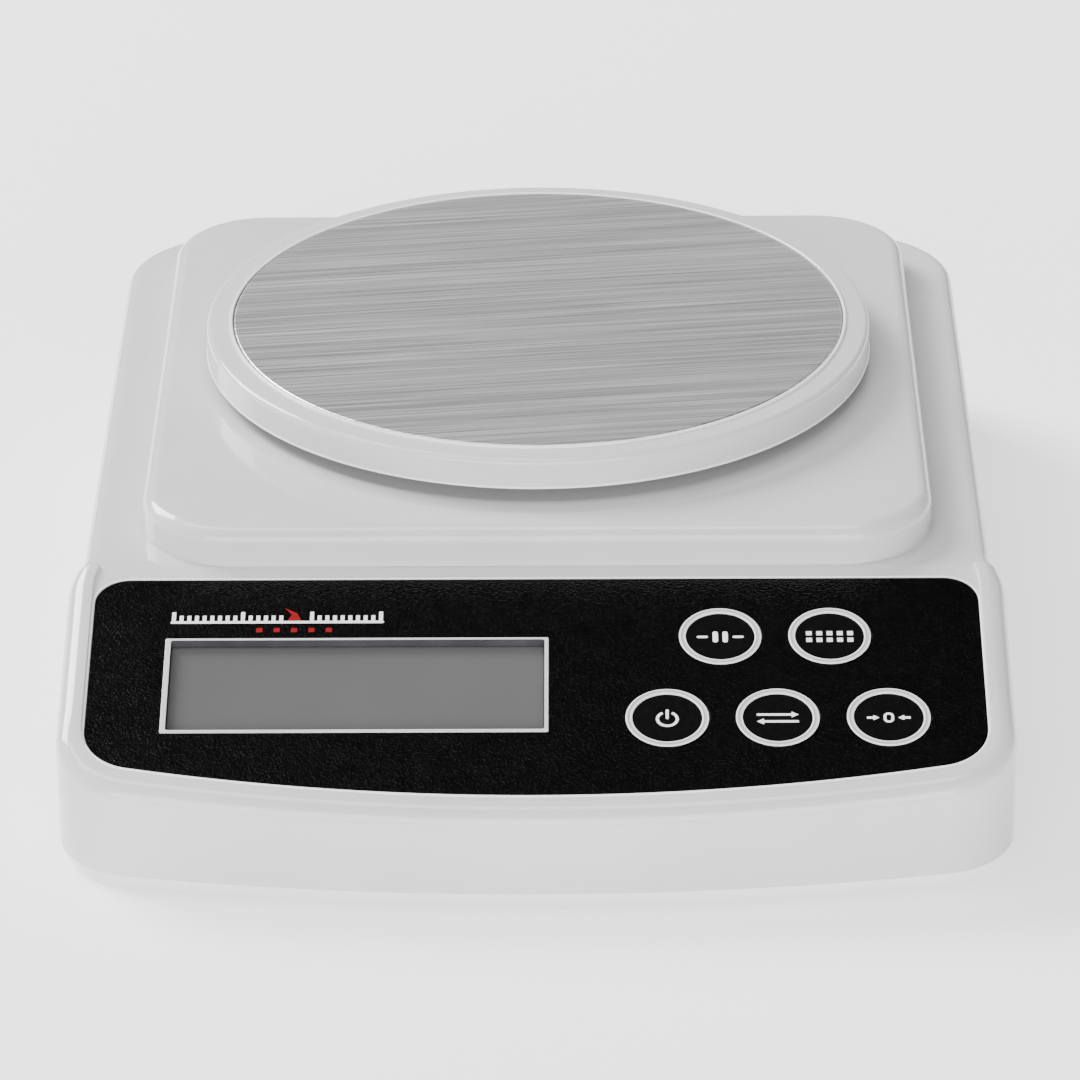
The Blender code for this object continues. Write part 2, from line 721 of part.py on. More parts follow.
def screw(name, place, head_low, head_high, head_radius, shank_end, shank_radius):
    """A pan head screw put in from below or, where its shank ends lower, from above."""
    if shank_end > head_high:
        profile = [
            (0, shank_end),
            (shank_radius, shank_end - 0.0005),
            (shank_radius, head_high),
            (head_radius, head_high),
            (head_radius, head_low + 0.0006),
            (head_radius - 0.0006, head_low),
            (0, head_low),
        ]
    else:
        profile = [
            (0, head_high),
            (head_radius - 0.0006, head_high),
            (head_radius, head_high - 0.0006),
            (head_radius, head_low),
            (shank_radius, head_low),
            (shank_radius, shank_end + 0.0005),
            (0, shank_end),
        ]
    return turned(name, profile, "zinc_steel", (*place, 0), steps=16)


def case_fasteners():
    for name, place in CASE_SCREWS.items():
        screw(f"case_screw_{name}", place, *SCREW_HEAD, SCREW_HEAD_RADIUS, SCREW_TIP,
              SCREW_SHANK_RADIUS)
    for name, x in zip(("outer", "inner"), reversed(BEAM_SCREW_X)):
        screw(f"base_screw_{name}", (-x, PAN_Y), *BASE_SCREW_HEAD, BEAM_HEAD_RADIUS,
              BASE_SCREW_TIP, BEAM_SCREW_RADIUS)
    point = [
        (0, STOP_SCREW_TOP),
        (STOP_SCREW_RADIUS - STOP_SCREW_EDGE, STOP_SCREW_TOP),
        (STOP_SCREW_RADIUS, STOP_SCREW_TOP - STOP_SCREW_EDGE),
        (STOP_SCREW_RADIUS, STOP_SCREW_BOTTOM),
        (0, STOP_SCREW_BOTTOM),
    ]
    turned("overload_stop_screw", point, "zinc_steel", (STOP_X, PAN_Y, 0), steps=12)


def rubber_feet():
    for name, place in FEET.items():
        profile = [
            (0, FOOT_TOP),
            (FOOT_RADIUS, FOOT_TOP),
            (FOOT_RADIUS, FOOT_EDGE),
            (FOOT_RADIUS - FOOT_EDGE, 0),
            (0, 0),
        ]
        turned(f"rubber_foot_{name}", profile, "rubber", (*place, 0))


# Battery bay

def battery_cover():
    """A hatch whose rear edge is its pivot: two tabs hook over the base there."""
    pivot = (0, bay_end(1) - GAP, CASE_BOTTOM)
    half_x = BAY_INNER[0] / 2 - GAP
    length = BAY_INNER[1] - 2 * GAP
    cover = box("battery_cover", (-half_x, -length, 0), (half_x, 0, COVER_THICKNESS))
    shift_origin(cover)
    cover.location = pivot
    for name, side in (("left", -1), ("right", 1)):
        middle = side * COVER_TAB_X
        reach = COVER_TAB_REACH + GAP
        left, right = middle - COVER_TAB_WIDTH / 2, middle + COVER_TAB_WIDTH / 2
        riser_low = (left, COVER_RISER_Y[0], COVER_THICKNESS - 0.0008)
        riser_high = (right, COVER_RISER_Y[1], COVER_TAB[1])
        tab_low = (left, COVER_RISER_Y[0] + 0.0008, COVER_TAB[0])
        tab_high = (right, reach, COVER_TAB[1])
        for part, low, high in (("riser", riser_low, riser_high), ("tab", tab_low, tab_high)):
            block = box(f"cover_{part}_{name}", low, high)
            shift_origin(block)
            block.location = pivot
            join(cover, block)
    return cover


def shift_origin(obj):
    """Moves the origin of a box to its frame's origin, and leaves its faces where they are."""
    offset = obj.location.copy()
    for vert in obj.data.vertices:
        vert.co += offset
    obj.location = (0, 0, 0)


def cell_places():
    """(x, which end its spring is on) of each cell: they point forwards and back by turns."""
    return [((i - 1.5) * CELL_PITCH, -1 if i % 2 else 1) for i in range(4)]


def battery_cells():
    for i, (x, spring_side) in enumerate(cell_places()):
        flat = bay_end(-spring_side) + spring_side * (CONTACT_THICKNESS + 3 * GAP)
        centre = flat + spring_side * CELL_LENGTH / 2
        profile = [
            (0, CELL_LENGTH / 2),
            (0.0025, CELL_LENGTH / 2),
            (0.0027, CELL_LENGTH / 2 - 0.0012),
            (0.0066, CELL_LENGTH / 2 - 0.0012),
            (CELL_RADIUS, CELL_LENGTH / 2 - 0.0020),
            (CELL_RADIUS, 0.0006 - CELL_LENGTH / 2),
            (0.0066, -CELL_LENGTH / 2),
            (0, -CELL_LENGTH / 2),
        ]
        cell = turned(f"aa_cell_{i + 1}", profile, "cell_wrap", (x, centre, CELL_Z), steps=16)
        cell.rotation_euler.x = spring_side * math.pi / 2
        spring_start = flat + spring_side * (CELL_LENGTH + GAP)
        battery_spring(f"battery_spring_{i + 1}", x, spring_start, spring_side)


def battery_spring(name, x, start, side):
    """A conical coil, narrow at the cell and wide at the contact plate."""
    length = abs(bay_end(side) - start) - CONTACT_THICKNESS - 2 * GAP
    wire_radius = SPRING_WIRE_RADIUS
    steps = SPRING_TURNS * 8
    points = []
    for i in range(steps + 1):
        part = i / steps
        angle = 2 * math.pi * SPRING_TURNS * part
        radius = SPRING_RADII[0] + (SPRING_RADII[1] - SPRING_RADII[0]) * part
        along = wire_radius + part * (length - 2 * wire_radius)
        points.append((radius * math.cos(angle), side * along, radius * math.sin(angle)))
    wire(name, points, wire_radius, "zinc_steel", (x, start, CELL_Z))


def battery_contacts():
    for name, side in (("front", -1), ("rear", 1)):
        faces = sorted((bay_end(side) - side * GAP,
                        bay_end(side) - side * (GAP + CONTACT_THICKNESS)))
        low = (-CONTACT_HALF_WIDTH, faces[0], CONTACT_Z[0])
        high = (CONTACT_HALF_WIDTH, faces[1], CONTACT_Z[1])
        box(f"battery_contact_{name}", low, high, "zinc_steel")


# Load cell and pan

def load_cell():
    half = BEAM_SIZE[0] / 2
    half_y = BEAM_SIZE[1] / 2
    low = (-half, PAN_Y - half_y, BEAM_BOTTOM)
    beam = box("load_cell", low, (half, PAN_Y + half_y, BEAM_TOP), "aluminium")
    middle = (BEAM_BOTTOM + BEAM_TOP) / 2
    for side in (-1, 1):
        eye = cylinder(f"flexure_{side}", FLEXURE_RADIUS, -0.01, 0.01)
        eye.rotation_euler.x = math.pi / 2
        eye.location = (side * FLEXURE_X, PAN_Y, middle)
        cut(beam, eye)
    slot_low = (-FLEXURE_X, PAN_Y - 0.01, middle - FLEXURE_SLOT_HALF)
    slot_high = (FLEXURE_X, PAN_Y + 0.01, middle + FLEXURE_SLOT_HALF)
    cut(beam, box("flexure_slot", slot_low, slot_high))
    for i, x in enumerate(BEAM_SCREW_X):
        hole = BEAM_SCREW_RADIUS + GAP
        cut(beam, cylinder(f"fixed_hole_{i}", hole, 0.005, 0.0175, (-x, PAN_Y), steps=12))
        cut(beam, cylinder(f"live_hole_{i}", hole, 0.0125, 0.025, (x, PAN_Y), steps=12))
    return beam


def spider():
    """The spacer, the cross with its four posts, its screws and the rubber pads."""
    half_y = BEAM_SIZE[1] / 2
    hole = BEAM_SCREW_RADIUS + GAP
    spacer_low = (0.0180, PAN_Y - half_y, BEAM_TOP + GAP)
    spacer_high = (BEAM_SIZE[0] / 2, PAN_Y + half_y, SPACER_TOP)
    spacer = box("spider_spacer", spacer_low, spacer_high, "aluminium")
    hub = circle(SPIDER_HUB_RADIUS, (0, PAN_Y))
    cross = plate("spider", [hub], SPIDER_BOTTOM, SPIDER_TOP, "aluminium")
    foot_low = (0.0050, PAN_Y - 0.0080, SPIDER_BOTTOM + 0.0001)
    join(cross, box("spider_foot", foot_low, (0.0405, PAN_Y + 0.0080, SPIDER_TOP - 0.0001)))
    for name, (x, y) in support_places().items():
        reach = math.hypot(x, y - PAN_Y)
        arm = box(f"arm_{name}", (0.005, -SPIDER_ARM_HALF_WIDTH, SPIDER_BOTTOM + 0.0002),
                  (reach, SPIDER_ARM_HALF_WIDTH, SPIDER_TOP - 0.0002))
        shift_origin(arm)
        arm.location = (0, PAN_Y, 0)
        arm.rotation_euler.z = math.atan2(y - PAN_Y, x)
        eye = cylinder(f"eye_{name}", SPIDER_EYE_RADIUS, SPIDER_BOTTOM + 0.0003,
                       SPIDER_TOP + 0.0004, (x, y))
        post = cylinder(f"support_{name}", SUPPORT_RADIUS, SPIDER_BOTTOM + 0.001, SUPPORT_TOP,
                        (x, y))
        join(cross, arm, eye, post)
        rubber_pad(name, x, y)
    for i, x in enumerate(BEAM_SCREW_X):
        cut(spacer, cylinder(f"spacer_hole_{i}", hole, 0.019, 0.030, (x, PAN_Y), steps=12))
        cut(cross, cylinder(f"spider_hole_{i}", hole, 0.019, 0.030, (x, PAN_Y), steps=12))
    for name, x in zip(("inner", "outer"), BEAM_SCREW_X):
        head = SPIDER_TOP + GAP
        screw(f"spider_screw_{name}", (x, PAN_Y), head, head + SPIDER_HEAD_HEIGHT,
              BEAM_HEAD_RADIUS, SPIDER_SCREW_TIP, BEAM_SCREW_RADIUS)
    return cross


def rubber_pad(name, x, y):
    """A cap over the top of one post."""
    inner = SUPPORT_RADIUS + GAP
    profile = [
        (0, PAD_TOP),
        (PAD_RADIUS - 0.0008, PAD_TOP),
        (PAD_RADIUS, PAD_TOP - 0.0008),
        (PAD_RADIUS, DECK_TOP + 0.0006),
        (inner, DECK_TOP + 0.0006),
        (inner, SUPPORT_TOP + GAP),
        (0, SUPPORT_TOP + GAP),
    ]
    return turned(f"rubber_pad_{name}", profile, "rubber", (x, y, 0), steps=16)


def pan():
    profile = [
        (0, CARRIER_TOP),
        (PAN_LIP_RADIUS, CARRIER_TOP),
        (PAN_LIP_RADIUS, PAN_LIP_TOP - 0.0002),
        (PAN_LIP_RADIUS + 0.0003, PAN_LIP_TOP),
        (PAN_RADIUS - 0.0012, PAN_RIM_TOP),
        (PAN_RADIUS - 0.0003, PAN_RIM_TOP - 0.0004),
        (PAN_RADIUS, PAN_RIM_TOP - 0.0012),
        (PAN_RADIUS, PAN_BOTTOM),
        (PAN_RADIUS - PAN_WALL, PAN_BOTTOM),
        (PAN_RADIUS - PAN_WALL, CARRIER_BOTTOM),
        (0, CARRIER_BOTTOM),
    ]
    carrier = turned("pan_carrier", profile, "white_plastic", (0, PAN_Y, 0), steps=48)
    for name, (x, y) in support_places().items():
        socket = [
            (PAD_RADIUS + 0.0020, CARRIER_BOTTOM + 0.0005),
            (PAD_RADIUS + 0.0020, CARRIER_BOTTOM - 0.0025),
            (PAD_RADIUS + 0.0006, CARRIER_BOTTOM - 0.0025),
            (PAD_RADIUS + 0.0006, CARRIER_BOTTOM + 0.0005),
        ]
        join(carrier, turned(f"socket_ring_{name}", socket, "white_plastic", (x, y, 0),
                             steps=16, closed=True))
    steel = [
        (0, PLATE_TOP),
        (PLATE_RADIUS - 0.0006, PLATE_TOP),
        (PLATE_RADIUS, PLATE_TOP - 0.0004),
        (PLATE_RADIUS, CARRIER_TOP + GAP),
        (0, CARRIER_TOP + GAP),
    ]
    turned("pan_plate", steel, "brushed_steel", (0, PAN_Y, 0), steps=48)


# Wiring

def wiring():
    cell_route = [
        (-0.0160, 0.0270, 0.0150),
        (-0.0220, 0.0235, 0.0140),
        (-0.0340, 0.0225, 0.0120),
        (-0.0400, 0.0120, 0.0090),
        (-0.0410, -0.0150, 0.0070),
        (-0.0410, -0.0420, 0.0085),
        (-0.0400, -0.0560, 0.0140),
        (-0.0400, -0.0602, 0.0178),
    ]
    wire("load_cell_cable", smooth_route(cell_route, 4), 0.0011, "cable_grey")
    battery_route = [
        (0.0200, bay_end(-1) - BAY_WALL - GAP - 0.0008, 0.0130),
        (0.0196, -0.0510, 0.0140),
        (0.0180, -0.0580, 0.0190),
        (0.0160, -0.0640, 0.0228),
    ]
    wire("battery_lead", smooth_route(battery_route, 4), 0.0008, "cable_grey")


def build_scale():
    clear_scene()
    panel = new_frame("panel_frame", (0, BEND_Y, SHOULDER_TOP), PANEL_SLOPE)
    upper_housing(panel)
    panel_overlay(panel)
    for name, (x, s) in KEYS.items():
        key(name, x, s, panel)
        tact_switch(name.replace("key", "switch"), x, s, panel)
    display(panel)
    circuit_board(panel)
    lower_housing()
    case_fasteners()
    rubber_feet()
    battery_cover()
    battery_cells()
    battery_contacts()
    load_cell()
    spider()
    pan()
    wiring()


build_scale()
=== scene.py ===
"""Looks of the counting scale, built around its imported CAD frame.

Shapes are built in millimetres and scaled to metres when they become objects. Panel
pieces are built flat, as x across, y up the slope and z out of it, and then tilted.
"""

import json
import math

import bmesh
import bpy
from mathutils import Matrix, Vector


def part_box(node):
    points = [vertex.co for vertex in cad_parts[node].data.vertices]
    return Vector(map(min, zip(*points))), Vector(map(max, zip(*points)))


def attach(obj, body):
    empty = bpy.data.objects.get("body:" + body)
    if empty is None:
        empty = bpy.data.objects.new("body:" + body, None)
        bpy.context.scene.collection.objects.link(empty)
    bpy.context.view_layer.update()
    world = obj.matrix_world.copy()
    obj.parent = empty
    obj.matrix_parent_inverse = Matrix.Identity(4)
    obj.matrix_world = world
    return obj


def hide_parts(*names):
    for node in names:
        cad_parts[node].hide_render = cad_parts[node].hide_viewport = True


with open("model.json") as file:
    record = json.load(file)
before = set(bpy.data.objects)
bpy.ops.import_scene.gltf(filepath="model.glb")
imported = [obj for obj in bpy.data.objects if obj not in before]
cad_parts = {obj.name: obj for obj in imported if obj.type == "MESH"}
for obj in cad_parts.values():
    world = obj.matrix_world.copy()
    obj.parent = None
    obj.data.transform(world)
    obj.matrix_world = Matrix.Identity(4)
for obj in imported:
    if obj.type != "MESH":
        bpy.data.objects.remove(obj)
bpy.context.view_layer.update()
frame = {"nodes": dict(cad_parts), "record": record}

MM = 0.001

# Case
CASE_BOTTOM = 2.5
SHOULDER_TOP = 39.8
DECK_TOP = 48.1
WALL = 2.2
GAP = 0.3
BEND_Y = -50.5
FRONT_Y = -122.0
BACK_Y = 122.0
CONSOLE_HALF = 96.5
BODY_HALF = 94.0
FLARE_FRONT_Y = -56.5
FLARE_BACK_Y = -43.5
FRONT_ARC = 440.0
FRONT_CORNER = 17.5
REAR_CORNER = 24.0
EDGE_RADIUS = 3.0
EDGE_INSETS = (0.0, 0.03, 0.12, 0.28, 0.5, 0.8, 1.2, 1.7, 2.3, 3.0, 3.5, 4.0)
WALL_FOOT = ((0.5, 0.0), (0.1, 0.15), (0.0, 0.6))  # the wall's lower edge: inset, height
RAIL_RADIUS = 4.0
RAIL_RISE = 0.9
RAIL_WIDTH = 5.45
RAIL_FADE = (44.0, 61.0)  # where the rail fades out, down the slope
RAIL_FROM_X = 60.0  # nearer the middle, the front edge has no rail
RAIL_INNER_EDGE = 0.35
RAIL_INNER_SHARE = 0.93
DECK_SIZE = (165.2, 164.4)
DECK_FRONT_Y = BEND_Y + GAP
DECK_CORNER = 20.0
DECK_FILLET = 3.3
DECK_FOOT = ((-0.25, 0.0), (-0.07, 0.07), (0.0, 0.25))  # the hollow where it meets the body
CASE_BOSS_RADIUS = 4.0
CASE_BOSS_BOTTOM = 10.0
CASE_PILOT_RADIUS = 1.7
CASE_PILOT_SPAN = (5.0, 21.0)

# Panel
SLOPE = math.radians(15.0)
OVERLAY_HALF = 90.65
OVERLAY_UPPER_S = 4.0
OVERLAY_LOWER_S = 68.2
OVERLAY_UPPER_RADIUS = 7.0
OVERLAY_LOWER_RADIUS = 11.0
OVERLAY_ARC = 411.0
OVERLAY_TOP = -0.05
OVERLAY_BOTTOM = -0.30
SHEET_EDGE = 0.06
SHEET_GAP = 0.05
RECESS_FLOOR = -0.34
LIP_PROFILE = (  # how far out from the sheet, height
    (0.62, 0.0), (0.58, 0.09), (0.50, 0.16), (0.38, 0.20),
    (0.24, 0.20), (0.14, 0.15), (0.08, 0.06), (0.06, RECESS_FLOOR),
)
LIP_CREST = 0.34
# Where the lip gets painted highlight: near its crest line and between these heights
LIP_HIGHLIGHT_REACH = 0.29
LIP_HIGHLIGHT_SPAN = (-0.05, 0.3)
FRAME_CENTRE = (-36.55, -35.8)
FRAME_SIZE = (78.1, 28.1)
FRAME_RADIUS = 0.3
FRAME_SPAN = (-1.2, 0.03)
FRAME_EDGE = 0.12
OPENING_CENTRE = (-36.4, -35.72)
OPENING_SIZE = (76.2, 26.6)
OPENING_RADIUS = 0.5
# Heights of the window's walls that get painted shade
PAINTED_SHADE_SPAN = (-2.4, 0.1)
GLASS_SIZE = (80.0, 31.0)
GLASS_TOP = -2.5
GLASS_BOTTOM = -5.3
GLASS_EDGE = 0.15
FILM_TOP = -1.75
FILM_RADIUS = 0.4
FILM_MARGIN = 0.15
FILM_EDGE = 0.08
KEYS = {
    "hold": (37.5, -21.8),
    "pieces": (59.8, -21.8),
    "power": (26.4, -46.0),
    "mode": (48.6, -46.0),
    "tare": (70.9, -46.0),
}
KEY_RADIUS = 8.6
KEY_HOLE = 8.9
SHEET_KEY_HOLE = 8.75
KEY_RING_MIDDLE = 7.72
SIGN_SPAN = (-0.12, -0.03)
STROKE = 0.62
INK_SPAN = (-0.06, -0.01)
TICK_BASE = -16.9
TICK_LINE = (-74.5, -31.5)
TICK_FIRST = -74.2
TICK_PITCH = 1.57
TICK_COUNT = 28
TICK_WIDTH = 0.8
TICK_HEIGHT = 1.6
TICK_TALL = 2.7
TICK_GROUP = 9
POINTER_X = -49.5
POINTER_ROOM = 2.6
DOT_COUNT = 5
DOT_FIRST = (-56.6, -19.3)
DOT_PITCH = 3.55
DOT_SIDE = 1.3
BOARD_SCREW_AT = ((-77.0, -11.0), (77.0, -11.0), (-77.0, -58.0), (77.0, -58.0))
BOARD_BOSS_RADIUS = 2.8
BOARD_BOSS_SPAN = (-9.5, -1.0)
BOARD_PILOT_RADIUS = 1.3
BOARD_PILOT_SPAN = (-12.0, -4.5)
PANEL_CUT_SPAN = (-8.0, 3.0)

# Pan and supports
PAN_Y = 35.2
PAN_RADIUS = 72.3
PAN_STEPS = 160
STEEL_RADIUS = 66.2
STEEL_SPAN = (57.2, 58.1)
CARRIER_SPAN = (54.9, 56.9)
CARRIER_FOOT = 50.9
RIM_TOP = 58.24
RIM_INNER_RADIUS = 66.45
# Painted highlight: faces of the pan ring that get a whiter white, on the rim round the steel and at
# the ring's foot
RIM_HIGHLIGHT = (66.4, 67.22, 57.85)  # from, to and above: the rim round the steel
FOOT_HIGHLIGHT = (72.1, 51.45)  # from and below: the foot of the ring
RIB_COUNT = 8
RIB_REACH = (46.0, 70.6)
RIB_HALF = 0.7
RIB_SPAN = (53.2, 55.2)
SOCKET_RADII = (6.1, 7.5)
SOCKET_SPAN = (52.4, 55.2)
SUPPORT_REACH = 26.0
DECK_HOLE = 6.5
DECK_CUT_SPAN = (42.0, 52.0)
PAD_RADIUS = 5.5
PAD_BORE = 4.3
PAD_SPAN = (48.7, 54.6)
PAD_BORE_TOP = 51.6

# Base
FLOOR_TOP = 4.7
FLOOR_EDGE = 0.5
BASE_RIM_INSET = 4.1
BASE_RIM_TOP = 8.5
PLINTH_X = (-40.0, -18.0)
PLINTH_HALF = 9.0
PLINTH_SPAN = (3.1, 8.0)
POST_RADIUS = 4.5
POST_SPAN = (3.0, 9.7)
STOP_AT = (29.0, PAN_Y)
STOP_POST_SPAN = (3.1, 6.6)
STOP_HOLE = 1.8
BEAM_SCREW_AT = ((-23.0, PAN_Y), (-35.0, PAN_Y))
BEAM_SCREW_HOLE = 2.2
BEAM_SCREW_SINK = 3.7
CASE_SCREW_SINK = 3.2
SCREW_SHANK = 1.4
SCREW_HEAD = 2.9
SCREW_TIP = 20.0
SCREW_SEAT = 6.2
SCREW_LOW = 3.8
CROSS_TOP = 4.9
CROSS_REACH = 1.5
CROSS_WIDTH = 0.55
FOOT_SOCKET = 7.3
FOOT_SOCKET_TOP = 3.3
FOOT_RADIUS = 7.0
GROOVE_RADIUS = 9.2
GROOVE_HALF = 0.5
GROOVE_SPAN = (2.0, 2.9)
SCOOP_RADIUS = 9.0
SCOOP_TOP = 3.7
LABEL_SIZE = (52.0, 26.0)
LABEL_CENTRE = (0.0, 84.0)
BAY_HALF = 31.0
BAY_FRONT_Y = -44.0
BAY_BACK_Y = 17.0
BAY_ROOF = 19.9
BAY_WALL = 1.8
CELL_Z = 12.3
CELL_PITCH = 15.0
CELL_RADIUS = 7.25
CELL_LENGTH = 50.5
CELL_NIPPLE = 2.7
COVER_THICKNESS = 1.8
COVER_EDGE = 0.2
TAB_X = (-CELL_PITCH, CELL_PITCH)
TAB_HALF = 3.0
TAB_SLOT_HALF = 3.5
TAB_SPAN = (5.1, 6.1)
TAB_REACH = 2.3
GRIP_COUNT = 6
GRIP_PITCH = 1.8
GRIP_WIDTH = 0.9
SPRING_WIRE = 0.4
SPRING_TURNS = 2
SPRING_RADII = (2.5, 4.5)
SPRING_POINTS = 96
SHARP_ANGLE = math.radians(32)
CORNERS = ("front_left", "front_right", "rear_left", "rear_right")
CASE_SCREW_AT = ((-86.5, -98.0), (86.5, -98.0), (-86.5, 95.0), (86.5, 95.0))
FOOT_AT = ((-70.0, -90.0), (70.0, -90.0), (-70.0, 100.0), (70.0, 100.0))
PAD_AT = tuple((sx * SUPPORT_REACH, PAN_Y + sy * SUPPORT_REACH)
               for sy in (-1, 1) for sx in (-1, 1))

TILT = Matrix.Rotation(SLOPE, 4, "X")
PANEL_MM = Matrix.Translation((0, BEND_Y, SHOULDER_TOP)) @ TILT
PANEL = Matrix.Translation(Vector((0, BEND_Y, SHOULDER_TOP)) * MM) @ TILT
SLOPE_NORMAL = (0, -math.sin(SLOPE), math.cos(SLOPE))


# Outlines

def arc(centre, radius, start, end, steps):
    points = []
    for i in range(steps + 1):
        angle = math.radians(start + (end - start) * i / steps)
        points.append((centre[0] + radius * math.cos(angle), centre[1] + radius * math.sin(angle)))
    return points


def mirrored(half):
    return half + [(-x, y) for x, y in reversed(half) if x > 1e-6]


def rectangle(width, length, radius, centre=(0, 0), steps=6):
    """A rounded rectangle as a function of how far it is set in."""
    def outline(inset):
        corner = max(radius - inset, 0.02)
        across = width / 2 - inset - corner
        along = length / 2 - inset - corner
        points = []
        for sx, sy, start in ((1, 1, 0), (-1, 1, 90), (-1, -1, 180), (1, -1, 270)):
            middle = (centre[0] + sx * across, centre[1] + sy * along)
            points += arc(middle, corner, start, start + 90, steps)
        return points
    return outline


def disc(radius, centre=(0, 0), steps=48):
    def outline(inset):
        return arc(centre, radius - inset, 0, 360 - 360 / steps, steps - 1)
    return outline


def hole(outline):
    """The same outline used as a hole, which grows as the solid round it is set in."""
    return lambda inset: outline(-inset)


def fixed(points):
    return lambda inset: points


def smoothstep(low, high, value):
    t = min(max((value - low) / (high - low), 0.0), 1.0)
    return t * t * (3 - 2 * t)


def bowed_corner(half_width, arc_radius, corner_radius, arc_bottom):
    """Centre of the corner circle between a bowed front edge and a straight side, and its turn."""
    across = half_width - corner_radius
    along = math.sqrt((arc_radius - corner_radius) ** 2 - across ** 2)
    turn = math.degrees(math.atan2(-along, across))
    return (across, arc_bottom + arc_radius - along), turn


def side_half_width(y):
    return CONSOLE_HALF + (BODY_HALF - CONSOLE_HALF) * smoothstep(FLARE_FRONT_Y, FLARE_BACK_Y, y)


def side_stations(front, back):
    """Where the case's side is divided: close together at the flare, the bend and the fade."""
    spread = {front, back, BEND_Y, BEND_Y - 0.12}
    spread.update(FLARE_FRONT_Y + (FLARE_BACK_Y - FLARE_FRONT_Y) * i / 12 for i in range(13))
    for s in range(int(RAIL_FADE[0]) - 3, 56, 2):
        spread.add(BEND_Y - s * math.cos(SLOPE))
    spread.update((-85.0, -70.0, -20.0, 20.0, 60.0))
    return sorted(y for y in spread if front <= y <= back)


def case_ring(inset):
    corner, turn = bowed_corner(CONSOLE_HALF, FRONT_ARC, FRONT_CORNER, FRONT_Y)
    half = arc((0, FRONT_Y + FRONT_ARC), FRONT_ARC - inset, -90, turn, 14)
    half += arc(corner, FRONT_CORNER - inset, turn, 0, 12)[1:]
    rear = (BODY_HALF - REAR_CORNER, BACK_Y - REAR_CORNER)
    for y in side_stations(corner[1], rear[1])[1:-1]:
        half.append((side_half_width(y) - inset, y))
    half += arc(rear, REAR_CORNER - inset, 0, 90, 14)
    return mirrored(half)


def overlay_ring(grow):
    """The panel sheet grown by a distance, x across and y up the slope."""
    corner, turn = bowed_corner(OVERLAY_HALF, OVERLAY_ARC, OVERLAY_LOWER_RADIUS, -OVERLAY_LOWER_S)
    half = arc((0, OVERLAY_ARC - OVERLAY_LOWER_S), OVERLAY_ARC + grow, -90, turn, 14)
    half += arc(corner, OVERLAY_LOWER_RADIUS + grow, turn, 0, 12)[1:]
    upper = (OVERLAY_HALF - OVERLAY_UPPER_RADIUS, -OVERLAY_UPPER_S - OVERLAY_UPPER_RADIUS)
    half += arc(upper, OVERLAY_UPPER_RADIUS + grow, 0, 90, 10)
    return mirrored(half)


deck_ring = rectangle(*DECK_SIZE, DECK_CORNER, (0, DECK_FRONT_Y + DECK_SIZE[1] / 2), 14)


def rounded(corners, steps=4, closed=False):
    """Points of a line whose corners, given as (x, y, radius), are rounded off."""
    points = []
    last = len(corners) - 1
    for i, (x, y, radius) in enumerate(corners):
        if radius <= 0 or (not closed and i in (0, last)):
            points.append((x, y))
            continue
        here = Vector((x, y))
        before = (Vector(corners[i - 1][:2]) - here).normalized()
        after = (Vector(corners[(i + 1) % len(corners)][:2]) - here).normalized()
        half = before.angle(after) / 2
        centre = here + (before + after).normalized() * (radius / math.sin(half))
        start = here + before * (radius / math.tan(half)) - centre
        end = here + after * (radius / math.tan(half)) - centre
        turn = start.angle_signed(end)
        for k in range(steps + 1):
            spoke = start.copy()
            spoke.rotate(Matrix.Rotation(-turn * k / steps, 2))
            points.append(tuple(centre + spoke))
    return points


# Meshes

def new_mesh(name, bm):
    mesh = bpy.data.meshes.new(name)
    bm.to_mesh(mesh)
    bm.free()
    return mesh


def placed(name, data):
    obj = bpy.data.objects.new(name, data)
    bpy.context.scene.collection.objects.link(obj)
    return obj


def ring_at(bm, line, height):
    return [bm.verts.new((x, y, height)) for x, y in line]


def strip(bm, first, second):
    for i in range(len(first)):
        j = (i + 1) % len(first)
        bm.faces.new((first[i], first[j], second[j], second[i]))


def walls(bm, rings):
    for first, second in zip(rings, rings[1:]):
        strip(bm, first, second)


def loop_edges(bm, ring):
    edges = []
    for i, vert in enumerate(ring):
        other = ring[(i + 1) % len(ring)]
        edges.append(bm.edges.get((vert, other)) or bm.edges.new((vert, other)))
    return edges


def fill(bm, edges, normal=(0, 0, 1)):
    bmesh.ops.triangle_fill(bm, use_beauty=True, use_dissolve=False, edges=edges, normal=normal)


def prism(outlines, low, high, edge=0.0, steps=3, lower_edge=0.0):
    """A plate with rounded edges. The first outline is the outside, the rest are holes."""
    levels = []
    for i in range(steps if lower_edge else 0):
        angle = math.pi / 2 * i / steps
        levels.append((lower_edge * (1 - math.sin(angle)), low + lower_edge * (1 - math.cos(angle))))
    levels.append((0, low + lower_edge))
    levels.append((0, high - edge))
    for i in range(1, steps + 1 if edge else 0):
        angle = math.pi / 2 * i / steps
        levels.append((edge * (1 - math.cos(angle)), high - edge * (1 - math.sin(angle))))
    bm = bmesh.new()
    bottom = []
    top = []
    for outline in outlines:
        rings = [ring_at(bm, outline(inset), height) for inset, height in levels]
        walls(bm, rings)
        bottom += loop_edges(bm, rings[0])
        top += loop_edges(bm, rings[-1])
    fill(bm, bottom, (0, 0, -1))
    fill(bm, top)
    return bm


def block(low, high):
    """An upright box between two corners."""
    size = [b - a for a, b in zip(low, high)]
    centre = [(a + b) / 2 for a, b in zip(low, high)]
    return prism([rectangle(size[0], size[1], 0.02, centre[:2], 2)], low[2], high[2])


def rods(radius, places, span, steps=48):
    """Upright rods of one size, as one mesh."""
    return gathered(*[prism([disc(radius, at, steps)], *span) for at in places])


